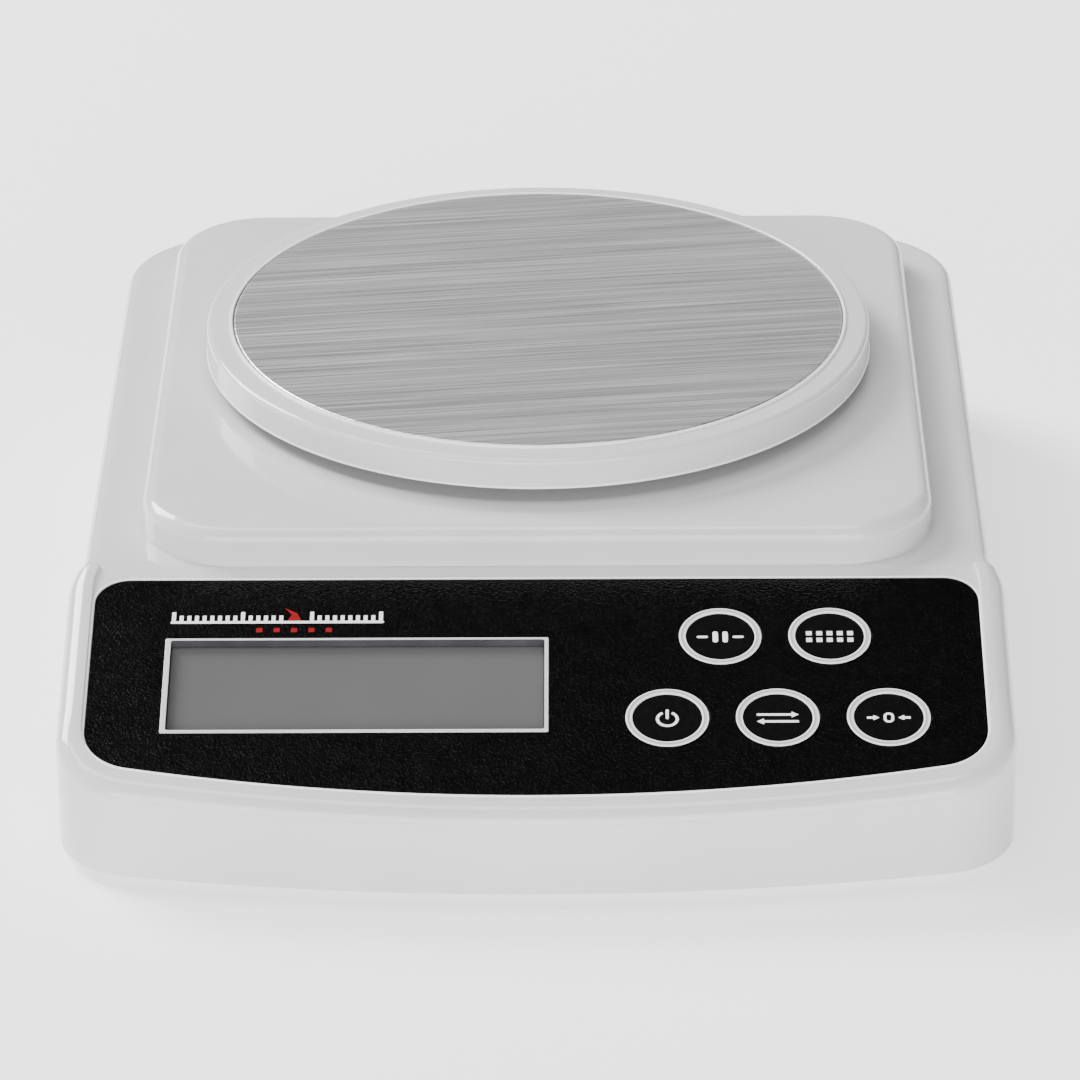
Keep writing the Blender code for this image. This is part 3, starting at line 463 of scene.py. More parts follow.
def turned(profile, steps=64, centre=(0, 0), closed=False):
    """A profile of (radius, height) points turned round a vertical line."""
    bm = bmesh.new()
    rings = []
    for radius, height in profile:
        if radius < 1e-6:
            rings.append([bm.verts.new((*centre, height))])
            continue
        rings.append(ring_at(bm, disc(radius, centre, steps)(0), height))
    pairs = list(zip(rings, rings[1:]))
    if closed:
        pairs.append((rings[-1], rings[0]))
    for first, second in pairs:
        if len(first) == 1 or len(second) == 1:
            pole, ring = (first[0], second) if len(first) == 1 else (second[0], first)
            for i in range(len(ring)):
                bm.faces.new((ring[i], ring[(i + 1) % len(ring)], pole))
        else:
            strip(bm, first, second)
    return bm


def gathered(*parts):
    """Several meshes in one."""
    whole = bmesh.new()
    for part in parts:
        mesh = new_mesh("part", part)
        whole.from_mesh(mesh)
        bpy.data.meshes.remove(mesh)
    return whole


def tilted(bm):
    """Moves a mesh that was built flat onto the panel's slope."""
    bmesh.ops.transform(bm, matrix=PANEL_MM, verts=bm.verts)
    return bm


def temporary(bm, name):
    bmesh.ops.recalc_face_normals(bm, faces=bm.faces)
    return placed(name, new_mesh(name, bm))


def carved(base, steps):
    """The base with other meshes joined to it or cut from it, one after another."""
    target = temporary(base, "target")
    tools = []
    for operation, bm in steps:
        tool = temporary(bm, "tool")
        modifier = target.modifiers.new("step", "BOOLEAN")
        modifier.operation = operation
        modifier.solver = "EXACT"
        modifier.object = tool
        tools.append(tool)
    bpy.context.view_layer.update()
    result = bpy.data.meshes.new_from_object(
        target.evaluated_get(bpy.context.evaluated_depsgraph_get())
    )
    bm = bmesh.new()
    bm.from_mesh(result)
    for obj in (target, *tools):
        mesh = obj.data
        bpy.data.objects.remove(obj)
        bpy.data.meshes.remove(mesh)
    bpy.data.meshes.remove(result)
    bmesh.ops.remove_doubles(bm, verts=bm.verts, dist=1e-4)
    bmesh.ops.dissolve_degenerate(bm, edges=bm.edges, dist=1e-4)
    return bm


def piece(name, bm, body, materials, stands_for=(), matrix=None):
    """A finished piece: creased at its sharp edges, shaded, and riding on a CAD body."""
    bmesh.ops.recalc_face_normals(bm, faces=bm.faces)
    mesh = new_mesh(name, bm)
    mesh.transform(Matrix.Scale(MM, 4))
    mesh.shade_smooth()
    mesh.set_sharp_from_angle(angle=SHARP_ANGLE)
    obj = placed(name, mesh)
    if matrix is not None:
        obj.matrix_world = matrix
    for material in materials if isinstance(materials, list) else [materials]:
        mesh.materials.append(material)
    normals = obj.modifiers.new("normals", "WEIGHTED_NORMAL")
    normals.keep_sharp = True
    normals.weight = 80
    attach(obj, body)
    if stands_for:
        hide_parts(*stands_for)
    return obj


# Materials

class Shade:
    """A procedural material. Lengths are in metres and colours are linear."""

    def __init__(self, name, roughness, metallic=0.0, **sockets):
        self.material = bpy.data.materials.new(name)
        self.material.use_nodes = True
        self.tree = self.material.node_tree
        self.shader = self.tree.nodes["Principled BSDF"]
        self.set("Roughness", roughness)
        self.set("Metallic", metallic)
        for socket, value in sockets.items():
            self.set(socket.replace("_", " "), value)
        self.place = self.add("ShaderNodeTexCoord").outputs["Object"]

    def set(self, socket, value):
        self.shader.inputs[socket].default_value = value

    def add(self, kind, **settings):
        node = self.tree.nodes.new(kind)
        for key, value in settings.items():
            setattr(node, key, value)
        return node

    def link(self, source, target):
        self.tree.links.new(source, target)
        return target

    def stretched(self, scale, turn):
        """Object coordinates turned first and then scaled per axis."""
        rotated = self.add("ShaderNodeMapping")
        rotated.inputs["Rotation"].default_value = turn
        self.link(self.place, rotated.inputs["Vector"])
        scaled = self.add("ShaderNodeMapping")
        scaled.inputs["Scale"].default_value = scale
        self.link(rotated.outputs["Vector"], scaled.inputs["Vector"])
        return scaled.outputs["Vector"]

    def noise(self, scale, detail=3.0, vector=None, roughness=0.5):
        node = self.add("ShaderNodeTexNoise")
        node.inputs["Scale"].default_value = scale
        node.inputs["Detail"].default_value = detail
        node.inputs["Roughness"].default_value = roughness
        self.link(vector or self.place, node.inputs["Vector"])
        return node.outputs["Fac"]

    def cells(self, scale):
        node = self.add("ShaderNodeTexVoronoi", feature="SMOOTH_F1")
        node.inputs["Scale"].default_value = scale
        self.link(self.place, node.inputs["Vector"])
        return node.outputs["Distance"]

    def span(self, value, low, high, out_low, out_high):
        node = self.add("ShaderNodeMapRange")
        for socket, number in (("From Min", low), ("From Max", high),
                               ("To Min", out_low), ("To Max", out_high)):
            node.inputs[socket].default_value = number
        self.link(value, node.inputs["Value"])
        return node.outputs["Result"]

    def math(self, operation, first, second):
        node = self.add("ShaderNodeMath", operation=operation)
        for socket, value in zip(node.inputs, (first, second)):
            if isinstance(value, (int, float)):
                socket.default_value = value
            else:
                self.link(value, socket)
        return node.outputs["Value"]

    def colours(self, value, dark, light):
        """Base colour that runs between two colours as a value runs from 0 to 1."""
        node = self.add("ShaderNodeMix", data_type="RGBA")
        node.inputs["A"].default_value = (*dark, 1.0)
        node.inputs["B"].default_value = (*light, 1.0)
        self.link(value, node.inputs["Factor"])
        self.link(node.outputs["Result"], self.shader.inputs["Base Color"])

    def cloud(self, scale, detail, dark, light):
        """Base colour that drifts between two colours with a noise."""
        self.colours(self.span(self.noise(scale, detail), 0.3, 0.7, 0, 1), dark, light)

    def rough(self, value, low, high):
        self.link(self.span(value, 0.3, 0.7, low, high), self.shader.inputs["Roughness"])

    def bump(self, value, depth, strength=1.0):
        node = self.add("ShaderNodeBump")
        node.inputs["Distance"].default_value = depth
        node.inputs["Strength"].default_value = strength
        self.link(value, node.inputs["Height"])
        self.link(node.outputs["Normal"], self.shader.inputs["Normal"])


def white_plastic(name, dark, light):
    shade = Shade(name, 0.10, Specular_IOR_Level=0.5)
    shade.cloud(28, 4, dark, light)
    shade.rough(shade.noise(160, 5), 0.075, 0.12)
    grain = shade.noise(5200, 2)
    swell = shade.noise(420, 2)
    shade.bump(shade.math("ADD", shade.math("MULTIPLY", swell, 0.7), grain), 0.000004, 0.4)
    return shade.material


def black_sheet():
    shade = Shade("black_sheet_look", 0.22, Specular_IOR_Level=0.12)
    leather = shade.cells(2150)
    fine = shade.noise(4200, 3)
    shade.cloud(55, 5, (0.0004, 0.0004, 0.0005), (0.0007, 0.0007, 0.0008))
    shade.rough(shade.noise(240, 4), 0.20, 0.25)
    relief = shade.math("ADD", leather, shade.math("MULTIPLY", fine, 0.15))
    shade.bump(relief, 0.00013, 0.72)
    return shade.material


def key_face():
    shade = Shade("key_face_look", 0.30, Specular_IOR_Level=0.06)
    shade.cloud(180, 4, (0.0009, 0.0009, 0.0010), (0.0020, 0.0020, 0.0021))
    shade.rough(shade.noise(700, 3), 0.30, 0.42)
    shade.bump(shade.noise(2600, 3), 0.00004, 0.45)
    return shade.material


def print_ink(name, dark, light):
    shade = Shade(name, 0.42, Specular_IOR_Level=0.15)
    shade.cloud(900, 4, dark, light)
    shade.rough(shade.noise(1500, 3), 0.36, 0.50)
    shade.bump(shade.noise(6000, 2), 0.00002, 0.4)
    return shade.material


def key_ring():
    """White paint on an embossed ring, darker along the hollow in its middle."""
    shade = Shade("key_ring_look", 0.38)
    split = shade.add("ShaderNodeSeparateXYZ")
    shade.link(shade.place, split.inputs["Vector"])
    squares = [shade.math("MULTIPLY", split.outputs[axis], split.outputs[axis])
               for axis in ("X", "Y")]
    radius = shade.math("SQRT", shade.math("ADD", *squares), 0)
    off = shade.math("ABSOLUTE", shade.math("SUBTRACT", radius, KEY_RING_MIDDLE * MM), 0)
    edge = shade.span(off, 0.0002, 0.0005, 0, 1)
    shade.colours(edge, (0.40, 0.405, 0.41), (0.95, 0.95, 0.955))
    shade.rough(shade.noise(900, 3), 0.32, 0.46)
    shade.bump(shade.noise(5000, 2), 0.00001, 0.4)
    return shade.material


def display_look():
    shade = Shade("display_look", 0.16, Specular_IOR_Level=0.3)
    shade.cloud(18, 3, (0.094, 0.094, 0.095), (0.107, 0.107, 0.108))
    shade.rough(shade.noise(500, 3), 0.14, 0.22)
    shade.bump(shade.noise(2400, 2), 0.000004, 0.3)
    return shade.material


def brushed(name, dark, light, roughness, turn, depth=0.000012):
    """Metal with long straight brush lines along x, turned by an angle."""
    shade = Shade(name, roughness[0], 1.0)
    away = (0, 0, turn)
    hairs = shade.noise(1.0, 2, shade.stretched((22, 2600, 60), away), 0.6)
    streaks = shade.noise(1.0, 3, shade.stretched((11, 1100, 20), away), 0.7)
    bands = shade.noise(1.0, 2, shade.stretched((4, 170, 6), away))
    mixed = shade.math("ADD", shade.math("MULTIPLY", streaks, 0.44),
                       shade.math("ADD", shade.math("MULTIPLY", hairs, 0.44),
                                  shade.math("MULTIPLY", bands, 0.12)))
    shade.colours(shade.span(mixed, 0.38, 0.62, 0, 1), dark, light)
    shade.link(shade.span(mixed, 0.38, 0.62, roughness[0], roughness[1]),
               shade.shader.inputs["Roughness"])
    shade.bump(shade.math("ADD", hairs, streaks), depth, 0.6)
    return shade.material


def plain_metal(name, dark, light):
    shade = Shade(name, 0.25, 1.0)
    shade.cloud(300, 5, dark, light)
    shade.rough(shade.noise(1200, 4), 0.25, 0.42)
    shade.bump(shade.noise(4200, 3), 0.000012, 0.4)
    return shade.material


def plain_matte(name, dark, light, roughness=(0.4, 0.6), scale=120, grain=2400, depth=0.00002):
    shade = Shade(name, roughness[0], Specular_IOR_Level=0.4)
    shade.cloud(scale, 5, dark, light)
    shade.rough(shade.noise(scale * 5, 3), *roughness)
    shade.bump(shade.noise(grain, 3), depth, 0.5)
    return shade.material


def board_look():
    """Solder mask with faint tracks under it."""
    shade = Shade("board_look", 0.32, Coat_Weight=0.4, Coat_Roughness=0.2)
    tracks = shade.add("ShaderNodeTexBrick")
    tracks.inputs["Scale"].default_value = 260
    tracks.inputs["Mortar Size"].default_value = 0.06
    shade.link(shade.place, tracks.inputs["Vector"])
    cloud = shade.noise(90, 4)
    mask = shade.math("ADD", shade.math("MULTIPLY", tracks.outputs["Fac"], 0.5),
                      shade.math("MULTIPLY", cloud, 0.5))
    shade.colours(mask, (0.008, 0.075, 0.026), (0.02, 0.15, 0.055))
    shade.rough(shade.noise(600, 3), 0.26, 0.4)
    shade.bump(shade.math("ADD", tracks.outputs["Fac"], shade.noise(3000, 2)), 0.00002, 0.3)
    return shade.material


def make_looks():
    return {
        "white_plastic": white_plastic("white_plastic_look", (0.600, 0.603, 0.607),
                                       (0.640, 0.642, 0.644)),
        # a whiter copy of the white plastic, used as painted highlight on thin lips and rims
        "bright_lip": white_plastic("bright_lip_look", (0.90, 0.90, 0.90), (0.96, 0.96, 0.96)),
        "black_sheet": black_sheet(),
        "key_face": key_face(),
        "key_ring": key_ring(),
        "print_white": print_ink("print_white_look", (0.88, 0.88, 0.89), (0.97, 0.97, 0.97)),
        "print_red": print_ink("print_red_look", (0.21, 0.0, 0.001), (0.26, 0.0, 0.002)),
        # a dark grey for painted shade on the window's inner walls
        "window_shade": plain_matte("window_shade_look", (0.040, 0.040, 0.044),
                                    (0.062, 0.062, 0.068)),
        "display_glass": display_look(),
        "dark_plastic": plain_matte("dark_plastic_look", (0.018, 0.018, 0.019),
                                    (0.034, 0.034, 0.036), (0.42, 0.6)),
        "rubber": plain_matte("rubber_look", (0.022, 0.022, 0.023), (0.042, 0.042, 0.043),
                              (0.7, 0.9), 200, 1800, 0.00005),
        "brushed_steel": brushed("brushed_steel_look", (0.40, 0.40, 0.405), (0.90, 0.90, 0.905),
                                 (0.26, 0.40), math.radians(-7.8)),
        "zinc_steel": plain_metal("zinc_steel_look", (0.46, 0.47, 0.49), (0.62, 0.62, 0.62)),
        "aluminium": brushed("aluminium_look", (0.50, 0.51, 0.52), (0.66, 0.67, 0.68),
                             (0.30, 0.44), 0.0, 0.00002),
        "board_green": board_look(),
        "cell_wrap": plain_matte("cell_wrap_look", (0.030, 0.065, 0.20), (0.045, 0.09, 0.27),
                                 (0.24, 0.36), 60, 1500, 0.00001),
        "cell_end": plain_metal("cell_end_look", (0.60, 0.60, 0.58), (0.74, 0.73, 0.70)),
        "cable_grey": plain_matte("cable_grey_look", (0.28, 0.28, 0.285), (0.38, 0.38, 0.385)),
    }


# Upper case

def plane_height(y):
    """The flat top of the case: level over the body, sloping down over the console."""
    return SHOULDER_TOP + min(y - BEND_Y, 0.0) * math.tan(SLOPE)


def rail_share(y):
    """How much of the side rail there is: none over the body, fading out at the front corners."""
    if y > BEND_Y - 0.1:
        return 0.0
    down = (BEND_Y - y) / math.cos(SLOPE)
    return 1.0 - smoothstep(*RAIL_FADE, down)


def edge_drop(inset, radius):
    """How far a fillet of this radius lies below the flat at a distance from the wall."""
    if inset >= radius:
        return 0.0
    return radius - math.sqrt(radius * radius - (radius - inset) ** 2)


def edge_height(x, y, inset):
    """The height of the case's rounded upper edge, at a distance in from its wall."""
    share = rail_share(y) if abs(x) >= RAIL_FROM_X else 0.0
    plain = -edge_drop(inset, EDGE_RADIUS)
    rail = RAIL_RISE - edge_drop(inset, RAIL_RADIUS)
    if inset > RAIL_WIDTH - RAIL_INNER_EDGE:
        rail = RAIL_RISE * (RAIL_INNER_SHARE if inset < RAIL_WIDTH - 0.05 else 0.0)
    return plane_height(y) + (1 - share) * plain + share * rail


def split_fill(bm, ring, holes):
    """Fills the level and the sloping part of a top, which meet along the bend."""
    left, right = sorted((v for v in ring if abs(v.co.y - BEND_Y) < 1e-6), key=lambda v: v.co.x)
    bend = bm.edges.new((left, right))
    loop = loop_edges(bm, ring)
    for sign, normal in ((1, (0, 0, 1)), (-1, SLOPE_NORMAL)):
        part = [e for e in loop if sign * (sum(v.co.y for v in e.verts) / 2 - BEND_Y) > 0]
        for edges, side in holes:
            if side == sign:
                part += edges
        fill(bm, part + [bend], normal)


def case_shell():
    """The outside of the upper case as one closed solid."""
    bm = bmesh.new()
    rings = []
    for inset, height in WALL_FOOT:
        rings.append(ring_at(bm, case_ring(inset), CASE_BOTTOM + height))
    for inset in [*EDGE_INSETS, *[RAIL_WIDTH - back for back in (0.5, 0.3, 0.02, 0)]]:
        line = case_ring(inset)
        rings.append([bm.verts.new((x, y, edge_height(x, y, inset))) for x, y in line])
    walls(bm, rings)
    fill(bm, loop_edges(bm, rings[0]), (0, 0, -1))
    deck = deck_rings(bm)
    lip = lip_rings(bm)
    split_fill(bm, rings[-1], [(loop_edges(bm, deck), 1), (loop_edges(bm, lip), -1)])
    return bm


def deck_rings(bm):
    """The raised deck. Returns its base ring, where it stands on the body."""
    levels = [(inset, SHOULDER_TOP + height) for inset, height in DECK_FOOT]
    for i in range(9):
        angle = math.pi / 2 * i / 8
        levels.append((DECK_FILLET * (1 - math.cos(angle)),
                       DECK_TOP - DECK_FILLET * (1 - math.sin(angle))))
    rings = [ring_at(bm, deck_ring(inset), height) for inset, height in levels]
    walls(bm, rings)
    fill(bm, loop_edges(bm, rings[-1]))
    return rings[0]


def lip_rings(bm):
    """The thin lip round the panel sheet and the recess inside it. Returns its outer ring."""
    rings = []
    for grow, height in LIP_PROFILE:
        points = [PANEL_MM @ Vector((x, y, height)) for x, y in overlay_ring(grow)]
        rings.append([bm.verts.new(point) for point in points])
    walls(bm, rings)
    fill(bm, loop_edges(bm, rings[-1]), SLOPE_NORMAL)
    return rings[0]


def case_hollow():
    """The inside of the upper case, with an even wall and roof."""
    bm = bmesh.new()
    line = case_ring(WALL)
    drop = WALL / math.cos(SLOPE)
    low = ring_at(bm, line, 0.0)
    high = [bm.verts.new((x, y, plane_height(y) - drop)) for x, y in line]
    strip(bm, low, high)
    fill(bm, loop_edges(bm, low), (0, 0, -1))
    split_fill(bm, high, [])
    return bm


def upper_case(looks):
    window_frame = prism([rectangle(*FRAME_SIZE, FRAME_RADIUS, FRAME_CENTRE, 4)], *FRAME_SPAN,
                         FRAME_EDGE, 3)
    opening = prism([rectangle(*OPENING_SIZE, OPENING_RADIUS, OPENING_CENTRE, 4)],
                    *PANEL_CUT_SPAN)
    key_holes = rods(KEY_HOLE, KEYS.values(), PANEL_CUT_SPAN)
    deck_holes = rods(DECK_HOLE, PAD_AT, DECK_CUT_SPAN)
    bosses = gathered(*[prism([disc(CASE_BOSS_RADIUS, at, 24)], CASE_BOSS_BOTTOM, boss_top(at))
                        for at in CASE_SCREW_AT])
    pilots = rods(CASE_PILOT_RADIUS, CASE_SCREW_AT, CASE_PILOT_SPAN, 16)
    deck_hollow = prism([lambda inset: deck_ring(WALL)], SHOULDER_TOP - 4.0, DECK_TOP - WALL)
    board_bosses = rods(BOARD_BOSS_RADIUS, BOARD_SCREW_AT, BOARD_BOSS_SPAN, 24)
    board_pilots = rods(BOARD_PILOT_RADIUS, BOARD_SCREW_AT, BOARD_PILOT_SPAN, 16)
    bm = carved(case_shell(), [
        ("DIFFERENCE", case_hollow()),
        ("DIFFERENCE", deck_hollow),
        ("UNION", bosses),
        ("UNION", tilted(board_bosses)),
        ("UNION", tilted(window_frame)),
        ("DIFFERENCE", tilted(opening)),
        ("DIFFERENCE", tilted(key_holes)),
        ("DIFFERENCE", deck_holes),
        ("DIFFERENCE", pilots),
        ("DIFFERENCE", tilted(board_pilots)),
    ])
    obj = piece("upper_case", bm, "case",
                [looks["white_plastic"], looks["window_shade"], looks["bright_lip"]],
                ["upper_housing"])
    paint_window_shade_and_lip_highlight(obj.data)
    return obj


def boss_top(at):
    """Where a screw boss ends: inside the roof, even at its lower side."""
    return plane_height(at[1] - CASE_BOSS_RADIUS) - 1.3


def paint_window_shade_and_lip_highlight(mesh):
    """Paints shade on the walls of the window, and a highlight on the thin lip round the panel
    sheet.
    """
    flat = PANEL_MM.inverted()
    reach = [size / 2 + 0.1 for size in OPENING_SIZE]
    crest = [Vector(point) for point in overlay_ring(LIP_CREST)]
    for face in mesh.polygons:
        at = flat @ (Vector(face.center) / MM)
        up = abs((flat.to_3x3() @ face.normal).z)
        in_window = all(abs(at[i] - OPENING_CENTRE[i]) < reach[i] for i in (0, 1))
        if in_window and between(at.z, PAINTED_SHADE_SPAN) and up < 0.3:
            # painted shade on the white walls of the window
            face.material_index = 1
        elif between(at.z, LIP_HIGHLIGHT_SPAN) and distance_to_line(at.xy, crest) < LIP_HIGHLIGHT_REACH:
            # painted highlight on the thin lip round the panel sheet
            face.material_index = 2


def between(value, span):
    return span[0] < value < span[1]


def distance_to_line(point, line):
    """The distance from a point to a closed line of straight pieces."""
    nearest = math.inf
    for start, end in zip(line, line[1:] + line[:1]):
        along = end - start
        share = min(max((point - start).dot(along) / along.length_squared, 0.0), 1.0)
        nearest = min(nearest, (point - start - along * share).length)
    return nearest


# Panel pieces

def panel_sheet(looks):
    width, length = [size + 2 * SHEET_GAP for size in FRAME_SIZE]
    window = rectangle(width, length, FRAME_RADIUS + SHEET_GAP, FRAME_CENTRE, 4)
    outlines = [lambda inset: overlay_ring(-inset), hole(window)]
    outlines += [hole(disc(SHEET_KEY_HOLE, at)) for at in KEYS.values()]
    bm = prism(outlines, OVERLAY_BOTTOM, OVERLAY_TOP, SHEET_EDGE, 2)
    return piece("panel_sheet", bm, "case", looks["black_sheet"],
                 ["panel_overlay"], PANEL)


def display(looks):
    glass = prism([rectangle(*GLASS_SIZE, 0.3, FRAME_CENTRE, 2)], GLASS_BOTTOM, GLASS_TOP,
                  GLASS_EDGE, 2)
    width, length = [size - 2 * FILM_MARGIN for size in OPENING_SIZE]
    film = prism([rectangle(width, length, FILM_RADIUS, OPENING_CENTRE, 4)], GLASS_TOP - 0.4,
                 FILM_TOP, FILM_EDGE, 2)
    bm = carved(glass, [("UNION", film)])
    return piece("display_glass", bm, "case", looks["display_glass"],
                 ["lcd_glass"], PANEL)


def bar(start, end, width):
    """A straight stroke with round ends."""
    first, last = Vector(start), Vector(end)
    turn = math.degrees(math.atan2(last.y - first.y, last.x - first.x))
    return (arc(start, width / 2, turn + 90, turn + 270, 6)
            + arc(end, width / 2, turn - 90, turn + 90, 6))


def band(centre, radius, width, start, end):
    """A stroke along part of a circle."""
    steps = max(6, int(abs(end - start) / 12))
    outer = arc(centre, radius + width / 2, start, end, steps)
    inner = arc(centre, radius - width / 2, end, start, steps)
    return outer + inner


def arrow(tail, tip, width, head):
    first, last = Vector(tail), Vector(tip)
    along = (last - first).normalized()
    across = Vector((-along.y, along.x))
    neck = last - along * head
    side = across * width / 2
    barb = across * head * 0.62
    return [tuple(p) for p in (first - side, neck - side, neck - barb, last,
                               neck + barb, neck + side, first + side)]


def square(x, y, side):
    half = side / 2
    return [(x - half, y - half), (x + half, y - half), (x + half, y + half), (x - half, y + half)]


def key_signs():
    """Outlines of plain signs for the five keys, without letters."""
    return {
        "hold": [bar((x, -1.1), (x, 1.1), 1.1) for x in (-1.0, 1.0)]
        + [bar((x, 0), (x * 1.6, 0), STROKE) for x in (-2.8, 2.8)],
        "pieces": [square(x, y, 1.2) for x in (-4.2, -2.1, 0, 2.1, 4.2) for y in (-1.0, 1.0)],
        "power": [band((0, -0.2), 2.0, STROKE, 118, 422), bar((0, 0.1), (0, 2.3), STROKE)],
        "mode": [arrow((-4.2, 1.0), (4.2, 1.0), STROKE, 1.4),
                 arrow((4.2, -1.0), (-4.2, -1.0), STROKE, 1.4)],
        "tare": [arrow((-4.4, 0), (-1.9, 0), STROKE, 1.2), arrow((4.4, 0), (1.9, 0), STROKE, 1.2)],
    }


def key_cap_profile():
    """A dished cap with a flange that holds it in the case and a stem that meets its switch."""
    return rounded([
        (0, -0.08, 0), (7.15, -0.08, 0), (7.2, 0.06, 0), (8.5, 0.06, 0.1),
        (KEY_RADIUS, -0.1, 0.05), (KEY_RADIUS, -2.5, 0), (9.8, -2.5, 0.1), (9.8, -3.5, 0.1),
        (7.2, -3.5, 0), (7.2, -1.3, 0.3), (2.0, -1.3, 0), (2.0, -5.5, 0.2), (0, -5.5, 0),
    ], 3)


def keys(looks):
    ring = rounded([(7.05, -0.11, 0), (7.05, 0.22, 0.1), (7.4, 0.25, 0.2), (7.72, 0.15, 0.4),
                    (8.0, 0.25, 0.2), (8.4, 0.22, 0.1), (8.4, -0.05, 0)], 3, closed=True)
    signs = key_signs()
    for name, (x, y) in KEYS.items():
        body = f"key_{name}"
        matrix = PANEL @ Matrix.Translation((x * MM, y * MM, 0))
        piece(f"{body}_cap", turned(key_cap_profile(), 64), body,
              looks["key_face"], [body], matrix)
        piece(f"{body}_ring", turned(ring, 72, closed=True), body,
              looks["key_ring"], (), matrix)
        strokes = [prism([fixed(outline)], *SIGN_SPAN) for outline in signs[name]]
        if name == "tare":
            strokes.append(zero_sign())
        piece(f"{body}_sign", gathered(*strokes), body, looks["print_white"],
              (), matrix)


def zero_sign():
    return prism([rectangle(2.1, 2.9, 1.04), hole(rectangle(1.0, 1.8, 0.49))], *SIGN_SPAN)


def graduation(looks):
    """A printed row of graduation ticks with a red pointer and dots, above the window."""
    start, end = [(x, TICK_BASE) for x in TICK_LINE]
    white = [prism([fixed(bar(start, end, 0.7))], *INK_SPAN)]
    for i in range(TICK_COUNT):
        x = TICK_FIRST + i * TICK_PITCH
        tall = TICK_HEIGHT if i % TICK_GROUP else TICK_TALL
        if abs(x - POINTER_X) > POINTER_ROOM:
            tick = rectangle(TICK_WIDTH, tall, 0.1, (x, TICK_BASE + 0.4 + tall / 2), 2)
            white.append(prism([tick], *INK_SPAN))
    piece("panel_ticks", gathered(*white), "case", looks["print_white"], (), PANEL)
    pointer = [(POINTER_X + x, TICK_BASE + y)
               for x, y in ((-1.4, 0.45), (1.4, 0.45), (0.6, 2.6), (-2.1, 4.3), (-0.6, 2.3))]
    red = [prism([fixed(pointer)], *INK_SPAN)]
    for i in range(DOT_COUNT):
        at = (DOT_FIRST[0] + i * DOT_PITCH, DOT_FIRST[1])
        red.append(prism([rectangle(DOT_SIDE, DOT_SIDE, 0.2, at, 2)], *INK_SPAN))
    piece("panel_pointer", gathered(*red), "case", looks["print_red"], (), PANEL)


# Pan

def pan(looks):
    low, high = CARRIER_SPAN
    foot = CARRIER_FOOT
    carrier = rounded([
        (0, high, 0), (RIM_INNER_RADIUS, high, 0.1), (RIM_INNER_RADIUS, RIM_TOP, 0.25),
        (67.1, RIM_TOP, 0.3), (67.25, 57.8, 0.1), (PAN_RADIUS - 0.18, 57.50, 1.25),
        (PAN_RADIUS - 0.14, foot + 0.6, 0.1), (PAN_RADIUS, foot + 0.4, 0.12),
        (PAN_RADIUS, foot, 0.18), (PAN_RADIUS - 2.2, foot, 0.3), (PAN_RADIUS - 2.2, low, 0.8),
        (0, low, 0),
    ], 6)
    steps = [("UNION", pad_socket(at)) for at in PAD_AT]
    steps += [("UNION", pan_rib((i + 0.5) * 360 / RIB_COUNT)) for i in range(RIB_COUNT)]
    bm = carved(turned(carrier, PAN_STEPS, (0, PAN_Y)), steps)
    ring = piece("pan_ring", bm, "pan",
                 [looks["white_plastic"], looks["bright_lip"]], ["pan_carrier"])
    paint_ring_highlight(ring.data)
    bottom, top = STEEL_SPAN
    steel = rounded([(0, top, 0), (STEEL_RADIUS, top, 0.45), (STEEL_RADIUS, bottom, 0.1),
                     (0, bottom, 0)], 5)
    piece("pan_disc", turned(steel, PAN_STEPS, (0, PAN_Y)), "pan",
          looks["brushed_steel"], ["pan_plate"])


def paint_ring_highlight(mesh):
    """Paints a highlight on the ring's rim round the steel and on its foot, in a brighter white."""
    start, end, above = RIM_HIGHLIGHT
    beyond, below = FOOT_HIGHLIGHT
    for face in mesh.polygons:
        off = math.hypot(face.center.x, face.center.y - PAN_Y * MM) / MM
        height = face.center.z / MM
        if (start < off < end and height > above) or (off > beyond and height < below):
            face.material_index = 1


def pad_socket(at):
    """The round wall under the pan that a pad's head sits in."""
    inner, outer = SOCKET_RADII
    low, high = SOCKET_SPAN
    wall = [(outer, high), (outer, low), (inner, low), (inner, high)]
    return turned(wall, 32, at, closed=True)


def pan_rib(turn):
    """A stiffening rib under the pan, from near its middle to its rim."""
    bm = block((RIB_REACH[0], -RIB_HALF, RIB_SPAN[0]), (RIB_REACH[1], RIB_HALF, RIB_SPAN[1]))
    matrix = Matrix.Translation((0, PAN_Y, 0)) @ Matrix.Rotation(math.radians(turn), 4, "Z")
    bmesh.ops.transform(bm, matrix=matrix, verts=bm.verts)
    return bm


def pads(looks):
    low, high = PAD_SPAN
    profile = rounded([
        (0, high, 0), (PAD_RADIUS, high, 0.8), (PAD_RADIUS, low, 0.2), (PAD_BORE, low, 0),
        (PAD_BORE, PAD_BORE_TOP, 0), (0, PAD_BORE_TOP, 0),
    ])
    for name, at in zip(CORNERS, PAD_AT):
        piece(f"pad_{name}", turned(profile, 40, at), "load_platform",
              looks["rubber"], [f"rubber_pad_{name}"])


# Base

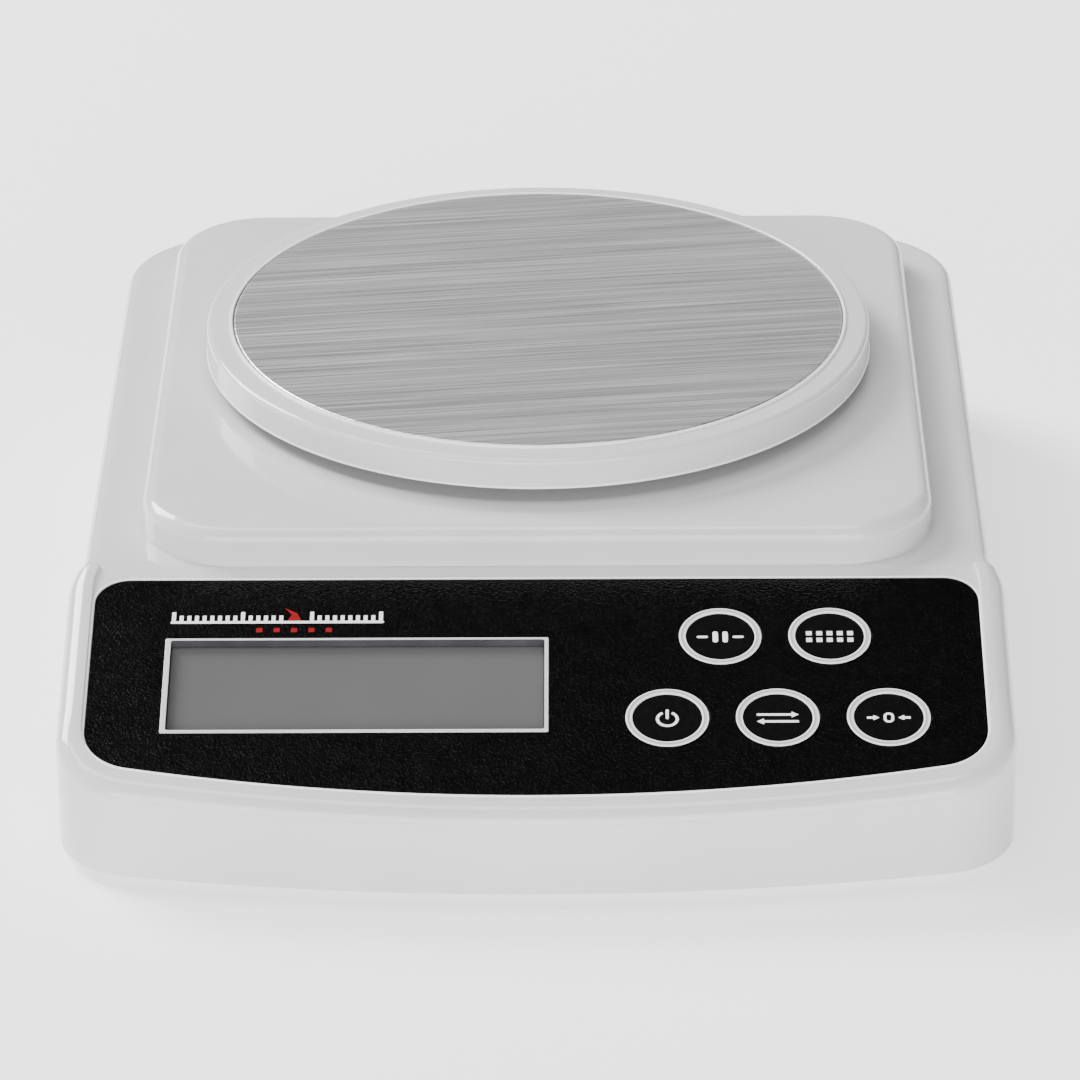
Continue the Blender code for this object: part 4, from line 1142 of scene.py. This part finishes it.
def lower_case(looks):
    floor_plan = [lambda inset: case_ring(WALL + GAP + inset)]
    base = prism(floor_plan, CASE_BOTTOM, FLOOR_TOP, 0, 3, FLOOR_EDGE)
    rim = prism([lambda inset: case_ring(WALL + GAP + 0.1), lambda inset: case_ring(BASE_RIM_INSET)],
                CASE_BOTTOM + 1, BASE_RIM_TOP)
    bay = block((-BAY_HALF - BAY_WALL, BAY_FRONT_Y - BAY_WALL, 3.0),
                (BAY_HALF + BAY_WALL, BAY_BACK_Y + BAY_WALL, BAY_ROOF + BAY_WALL))
    plinth = block((PLINTH_X[0], PAN_Y - PLINTH_HALF, PLINTH_SPAN[0]),
                   (PLINTH_X[1], PAN_Y + PLINTH_HALF, PLINTH_SPAN[1]))
    posts = gathered(rods(POST_RADIUS, CASE_SCREW_AT, POST_SPAN, 32),
                     rods(POST_RADIUS, [STOP_AT], STOP_POST_SPAN, 32))
    hollow = block((-BAY_HALF, BAY_FRONT_Y, 0), (BAY_HALF, BAY_BACK_Y, BAY_ROOF))
    tab_slots = [block((x - TAB_SLOT_HALF, BAY_BACK_Y - 2, FLOOR_TOP),
                       (x + TAB_SLOT_HALF, BAY_BACK_Y + 4.5, 7.5)) for x in TAB_X]
    clear_holes = gathered(rods(CASE_PILOT_RADIUS, CASE_SCREW_AT, (0, 12), 20),
                           rods(BEAM_SCREW_HOLE, BEAM_SCREW_AT, (0, 12), 20),
                           rods(STOP_HOLE, [STOP_AT], (0, 10), 20))
    sinks = gathered(rods(CASE_SCREW_SINK, CASE_SCREW_AT, (-1, 6.5), 32),
                     rods(BEAM_SCREW_SINK, BEAM_SCREW_AT, (-1, 6.0), 32))
    sockets = rods(FOOT_SOCKET, FOOT_AT, (-1, FOOT_SOCKET_TOP))
    scoop = rods(SCOOP_RADIUS, [(0, BAY_FRONT_Y - 1)], (-1, SCOOP_TOP))
    grooves = gathered(*[groove_ring(at) for at in FOOT_AT])
    joined = [rim, bay, plinth, posts]
    removed = [hollow, gathered(*tab_slots), clear_holes, sinks, sockets, scoop, grooves,
               label_field()]
    bm = carved(base, [("UNION", part) for part in joined]
                + [("DIFFERENCE", part) for part in removed])
    piece("lower_case", bm, "case", looks["white_plastic"], ["lower_housing"])


def groove_ring(at):
    """A shallow round groove in the underside, about a foot."""
    low, high = GROOVE_SPAN
    inner, outer = GROOVE_RADIUS - GROOVE_HALF, GROOVE_RADIUS + GROOVE_HALF
    return turned([(inner, low), (inner, high), (outer, high), (outer, low)], 48, at, closed=True)


def label_field():
    """The shallow field in the underside where a rating label would go."""
    return prism([rectangle(*LABEL_SIZE, 2.0, LABEL_CENTRE)], 1.0, CASE_BOTTOM + 0.25)


def battery_hatch(looks):
    """The cover, with two tabs at its hinged edge and finger grips at the other."""
    length = BAY_BACK_Y - BAY_FRONT_Y - 2 * GAP
    pivot_y = BAY_BACK_Y - GAP
    front = pivot_y - length
    base = prism([rectangle(2 * (BAY_HALF - GAP), length, 0.6, (0, pivot_y - length / 2), 4)],
                 CASE_BOTTOM, CASE_BOTTOM + COVER_THICKNESS, COVER_EDGE, 2, 0.25)
    tab_low, tab_high = TAB_SPAN
    steps = []
    for x in TAB_X:
        left, right = x - TAB_HALF, x + TAB_HALF
        riser = block((left, pivot_y - 2.8, 3.5), (right, pivot_y - 0.8, tab_high))
        tab = block((left, pivot_y - 2.0, tab_low), (right, pivot_y + TAB_REACH, tab_high))
        steps += [("UNION", riser), ("UNION", tab)]
    grips = []
    for i in range(GRIP_COUNT):
        half = 8.0 - i * 0.6
        y = front + 5.0 + i * GRIP_PITCH
        grips.append(block((-half, y, 1.0), (half, y + GRIP_WIDTH, CASE_BOTTOM + 0.45)))
    steps.append(("DIFFERENCE", gathered(*grips)))
    piece("battery_hatch", carved(base, steps), "battery_cover",
          looks["white_plastic"], ["battery_cover"])


def feet(looks):
    radius = FOOT_RADIUS
    profile = rounded([
        (0, 3.0, 0), (radius, 3.0, 0.1), (radius, 0.0, 0.8), (radius - 1.4, 0.0, 0.15),
        (radius - 1.8, 0.35, 0.15), (0, 0.35, 0),
    ])
    for name, at in zip(CORNERS, FOOT_AT):
        piece(f"foot_{name}", turned(profile, 48, at), "case", looks["rubber"],
              [f"rubber_foot_{name}"])


def cross_recess(at, low, high, reach, width):
    """The two slots of a cross recess. One is a little deeper, so no faces coincide."""
    x, y = at
    half = width / 2
    return [block((x - reach, y - half, low), (x + reach, y + half, high)),
            block((x - half, y - reach, low - 0.01), (x + half, y + reach, high + 0.01))]


def screws(looks):
    shank, head = SCREW_SHANK, SCREW_HEAD
    profile = rounded([
        (0, SCREW_TIP, 0), (shank - 0.1, SCREW_TIP - 0.6, 0.1), (shank, SCREW_TIP - 1.1, 0.1),
        (shank, SCREW_SEAT, 0), (head, SCREW_SEAT, 0.1), (head, SCREW_LOW, 0.8), (0, SCREW_LOW, 0),
    ])
    for name, at in zip(CORNERS, CASE_SCREW_AT):
        recess = cross_recess(at, 3.0, CROSS_TOP, CROSS_REACH, CROSS_WIDTH)
        steps = [("DIFFERENCE", arm) for arm in recess]
        piece(f"screw_{name}", carved(turned(profile, 32, at), steps), "case",
              looks["zinc_steel"], [f"case_screw_{name}"])


def cells(looks):
    """Four plain cells, each turned the other way from its neighbour."""
    half = CELL_LENGTH / 2
    profile = rounded([
        (0, half, 0), (CELL_NIPPLE - 0.1, half, 0.3), (CELL_NIPPLE, half - 1.2, 0),
        (6.4, half - 1.2, 0.2), (CELL_RADIUS, half - 1.9, 0.5), (CELL_RADIUS, -half + 0.2, 0.6),
        (6.6, -half, 0.2), (0, -half, 0),
    ])
    for i in range(4):
        side = -1 if i % 2 else 1
        x = (i - 1.5) * CELL_PITCH
        low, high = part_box(f"aa_cell_{i + 1}")
        place = Vector((x * MM, (low.y + high.y) / 2, CELL_Z * MM))
        matrix = Matrix.Translation(place) @ Matrix.Rotation(side * math.pi / 2, 4, "X")
        obj = piece(f"cell_{i + 1}", turned(profile, 40), "case",
                    [looks["cell_wrap"], looks["cell_end"]], [f"aa_cell_{i + 1}"], matrix)
        for face in obj.data.polygons:
            height = face.center.z / MM
            reach = math.hypot(face.center.x, face.center.y) / MM
            if (height > half - 1.5 and reach < 5.0) or (height < -half + 0.1 and reach < 6.4):
                face.material_index = 1


def springs(looks):
    """Conical coils of round wire that press on the cells' flat ends."""
    for i in range(4):
        name = f"battery_spring_{i + 1}"
        low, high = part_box(name)
        side = -1 if i % 2 else 1
        ends = (low.y / MM, high.y / MM)
        start, end = ends if side > 0 else reversed(ends)
        points = coil_points((i - 1.5) * CELL_PITCH, start + side * SPRING_WIRE,
                             end - side * SPRING_WIRE)
        obj = wire_piece(f"coil_{i + 1}", points, SPRING_WIRE, looks["zinc_steel"])
        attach(obj, "case")
        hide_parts(name)


def coil_points(x, start, end):
    """Points of a coil round a cell's axis, widening from one end to the other."""
    small, large = SPRING_RADII
    points = []
    for k in range(SPRING_POINTS + 1):
        part = k / SPRING_POINTS
        angle = 2 * math.pi * SPRING_TURNS * part
        radius = small + (large - small) * part
        points.append((x + radius * math.cos(angle), start + (end - start) * part,
                       CELL_Z + radius * math.sin(angle)))
    return points


def wire_piece(name, points, radius, look):
    curve = bpy.data.curves.new(name, "CURVE")
    curve.dimensions = "3D"
    curve.bevel_depth = radius * MM
    curve.bevel_resolution = 4
    curve.use_fill_caps = True
    spline = curve.splines.new("POLY")
    spline.points.add(len(points) - 1)
    for point, at in zip(spline.points, points):
        point.co = (*(Vector(at) * MM), 1)
    curve.materials.append(look)
    return placed(name, curve)


def dress_frame(looks):
    """Gives every carried-over CAD node the look of its material slot."""
    slots = {part["node"]: part["material_slot"] for part in frame["record"]["subparts"]}
    for name, obj in frame["nodes"].items():
        if obj.hide_render:
            continue
        obj.data.materials.clear()
        obj.data.materials.append(looks[slots[name]])


# Studio, in metres and watts

FLOOR_HALF = 12.0
FLOOR_GLOW = 0.9
SKY_STRENGTH = 0.15
LIGHT_AIM = (0.0, 0.0, 0.03)
LIGHTS = (  # name, place, size, power
    ("top", (-0.35, 0.1, 2.1), (0.7, 2.0), 30.0),
    ("front", (-0.12, -2.0, 0.58), (2.8, 1.1), 72.0),
    ("left_back", (-1.5, 1.3, 1.45), (1.1, 1.1), 116.0),
    ("right_back", (1.6, 1.2, 1.3), (0.8, 0.8), 2.0),
    ("wall", (0.0, 2.6, 1.1), (3.0, 1.2), 7.0),
)
CAMERA_AT = (0.0090, -1.1768, 0.6074)
CAMERA_YAW = 0.42
CAMERA_DOWN = 26.5
CAMERA_ROLL = -0.397
CAMERA_LENS = 203.5


def studio():
    white = (1.0, 1.0, 1.0, 1.0)
    floor_look = Shade("floor_look", 0.55, Specular_IOR_Level=0.2)
    floor_look.cloud(3, 3, (0.93, 0.93, 0.93), (0.95, 0.95, 0.95))
    floor_look.bump(floor_look.noise(240, 3), 0.0001, 0.1)
    floor_look.set("Emission Color", white)
    floor_look.set("Emission Strength", FLOOR_GLOW)
    bm = bmesh.new()
    bmesh.ops.create_grid(bm, x_segments=1, y_segments=1, size=FLOOR_HALF)
    floor = placed("floor", new_mesh("floor", bm))
    floor.data.materials.append(floor_look.material)
    world = bpy.data.worlds.new("studio")
    world.use_nodes = True
    sky = world.node_tree.nodes["Background"]
    sky.inputs["Color"].default_value = white
    sky.inputs["Strength"].default_value = SKY_STRENGTH
    bpy.context.scene.world = world
    for name, at, size, power in LIGHTS:
        data = bpy.data.lights.new(name, "AREA")
        data.shape = "RECTANGLE"
        data.size, data.size_y = size
        data.energy = power
        light = placed(name, data)
        light.location = at
        light.rotation_mode = "QUATERNION"
        light.rotation_quaternion = (Vector(LIGHT_AIM) - Vector(at)).to_track_quat("-Z", "Y")


def camera():
    data = bpy.data.cameras.new("camera")
    data.lens = CAMERA_LENS
    data.sensor_width = 36.0
    data.clip_start = 0.05
    obj = placed("camera", data)
    yaw = Matrix.Rotation(math.radians(CAMERA_YAW), 4, "Z")
    pitch = Matrix.Rotation(math.radians(90 - CAMERA_DOWN), 4, "X")
    roll = Matrix.Rotation(math.radians(CAMERA_ROLL), 4, "Z")
    obj.matrix_world = Matrix.Translation(CAMERA_AT) @ yaw @ pitch @ roll
    bpy.context.scene.camera = obj


def build():
    looks = make_looks()
    for part in (upper_case, panel_sheet, display, keys, graduation, pan, pads, lower_case,
                 battery_hatch, feet, screws, cells, springs, dress_frame):
        part(looks)
    studio()
    camera()


build()
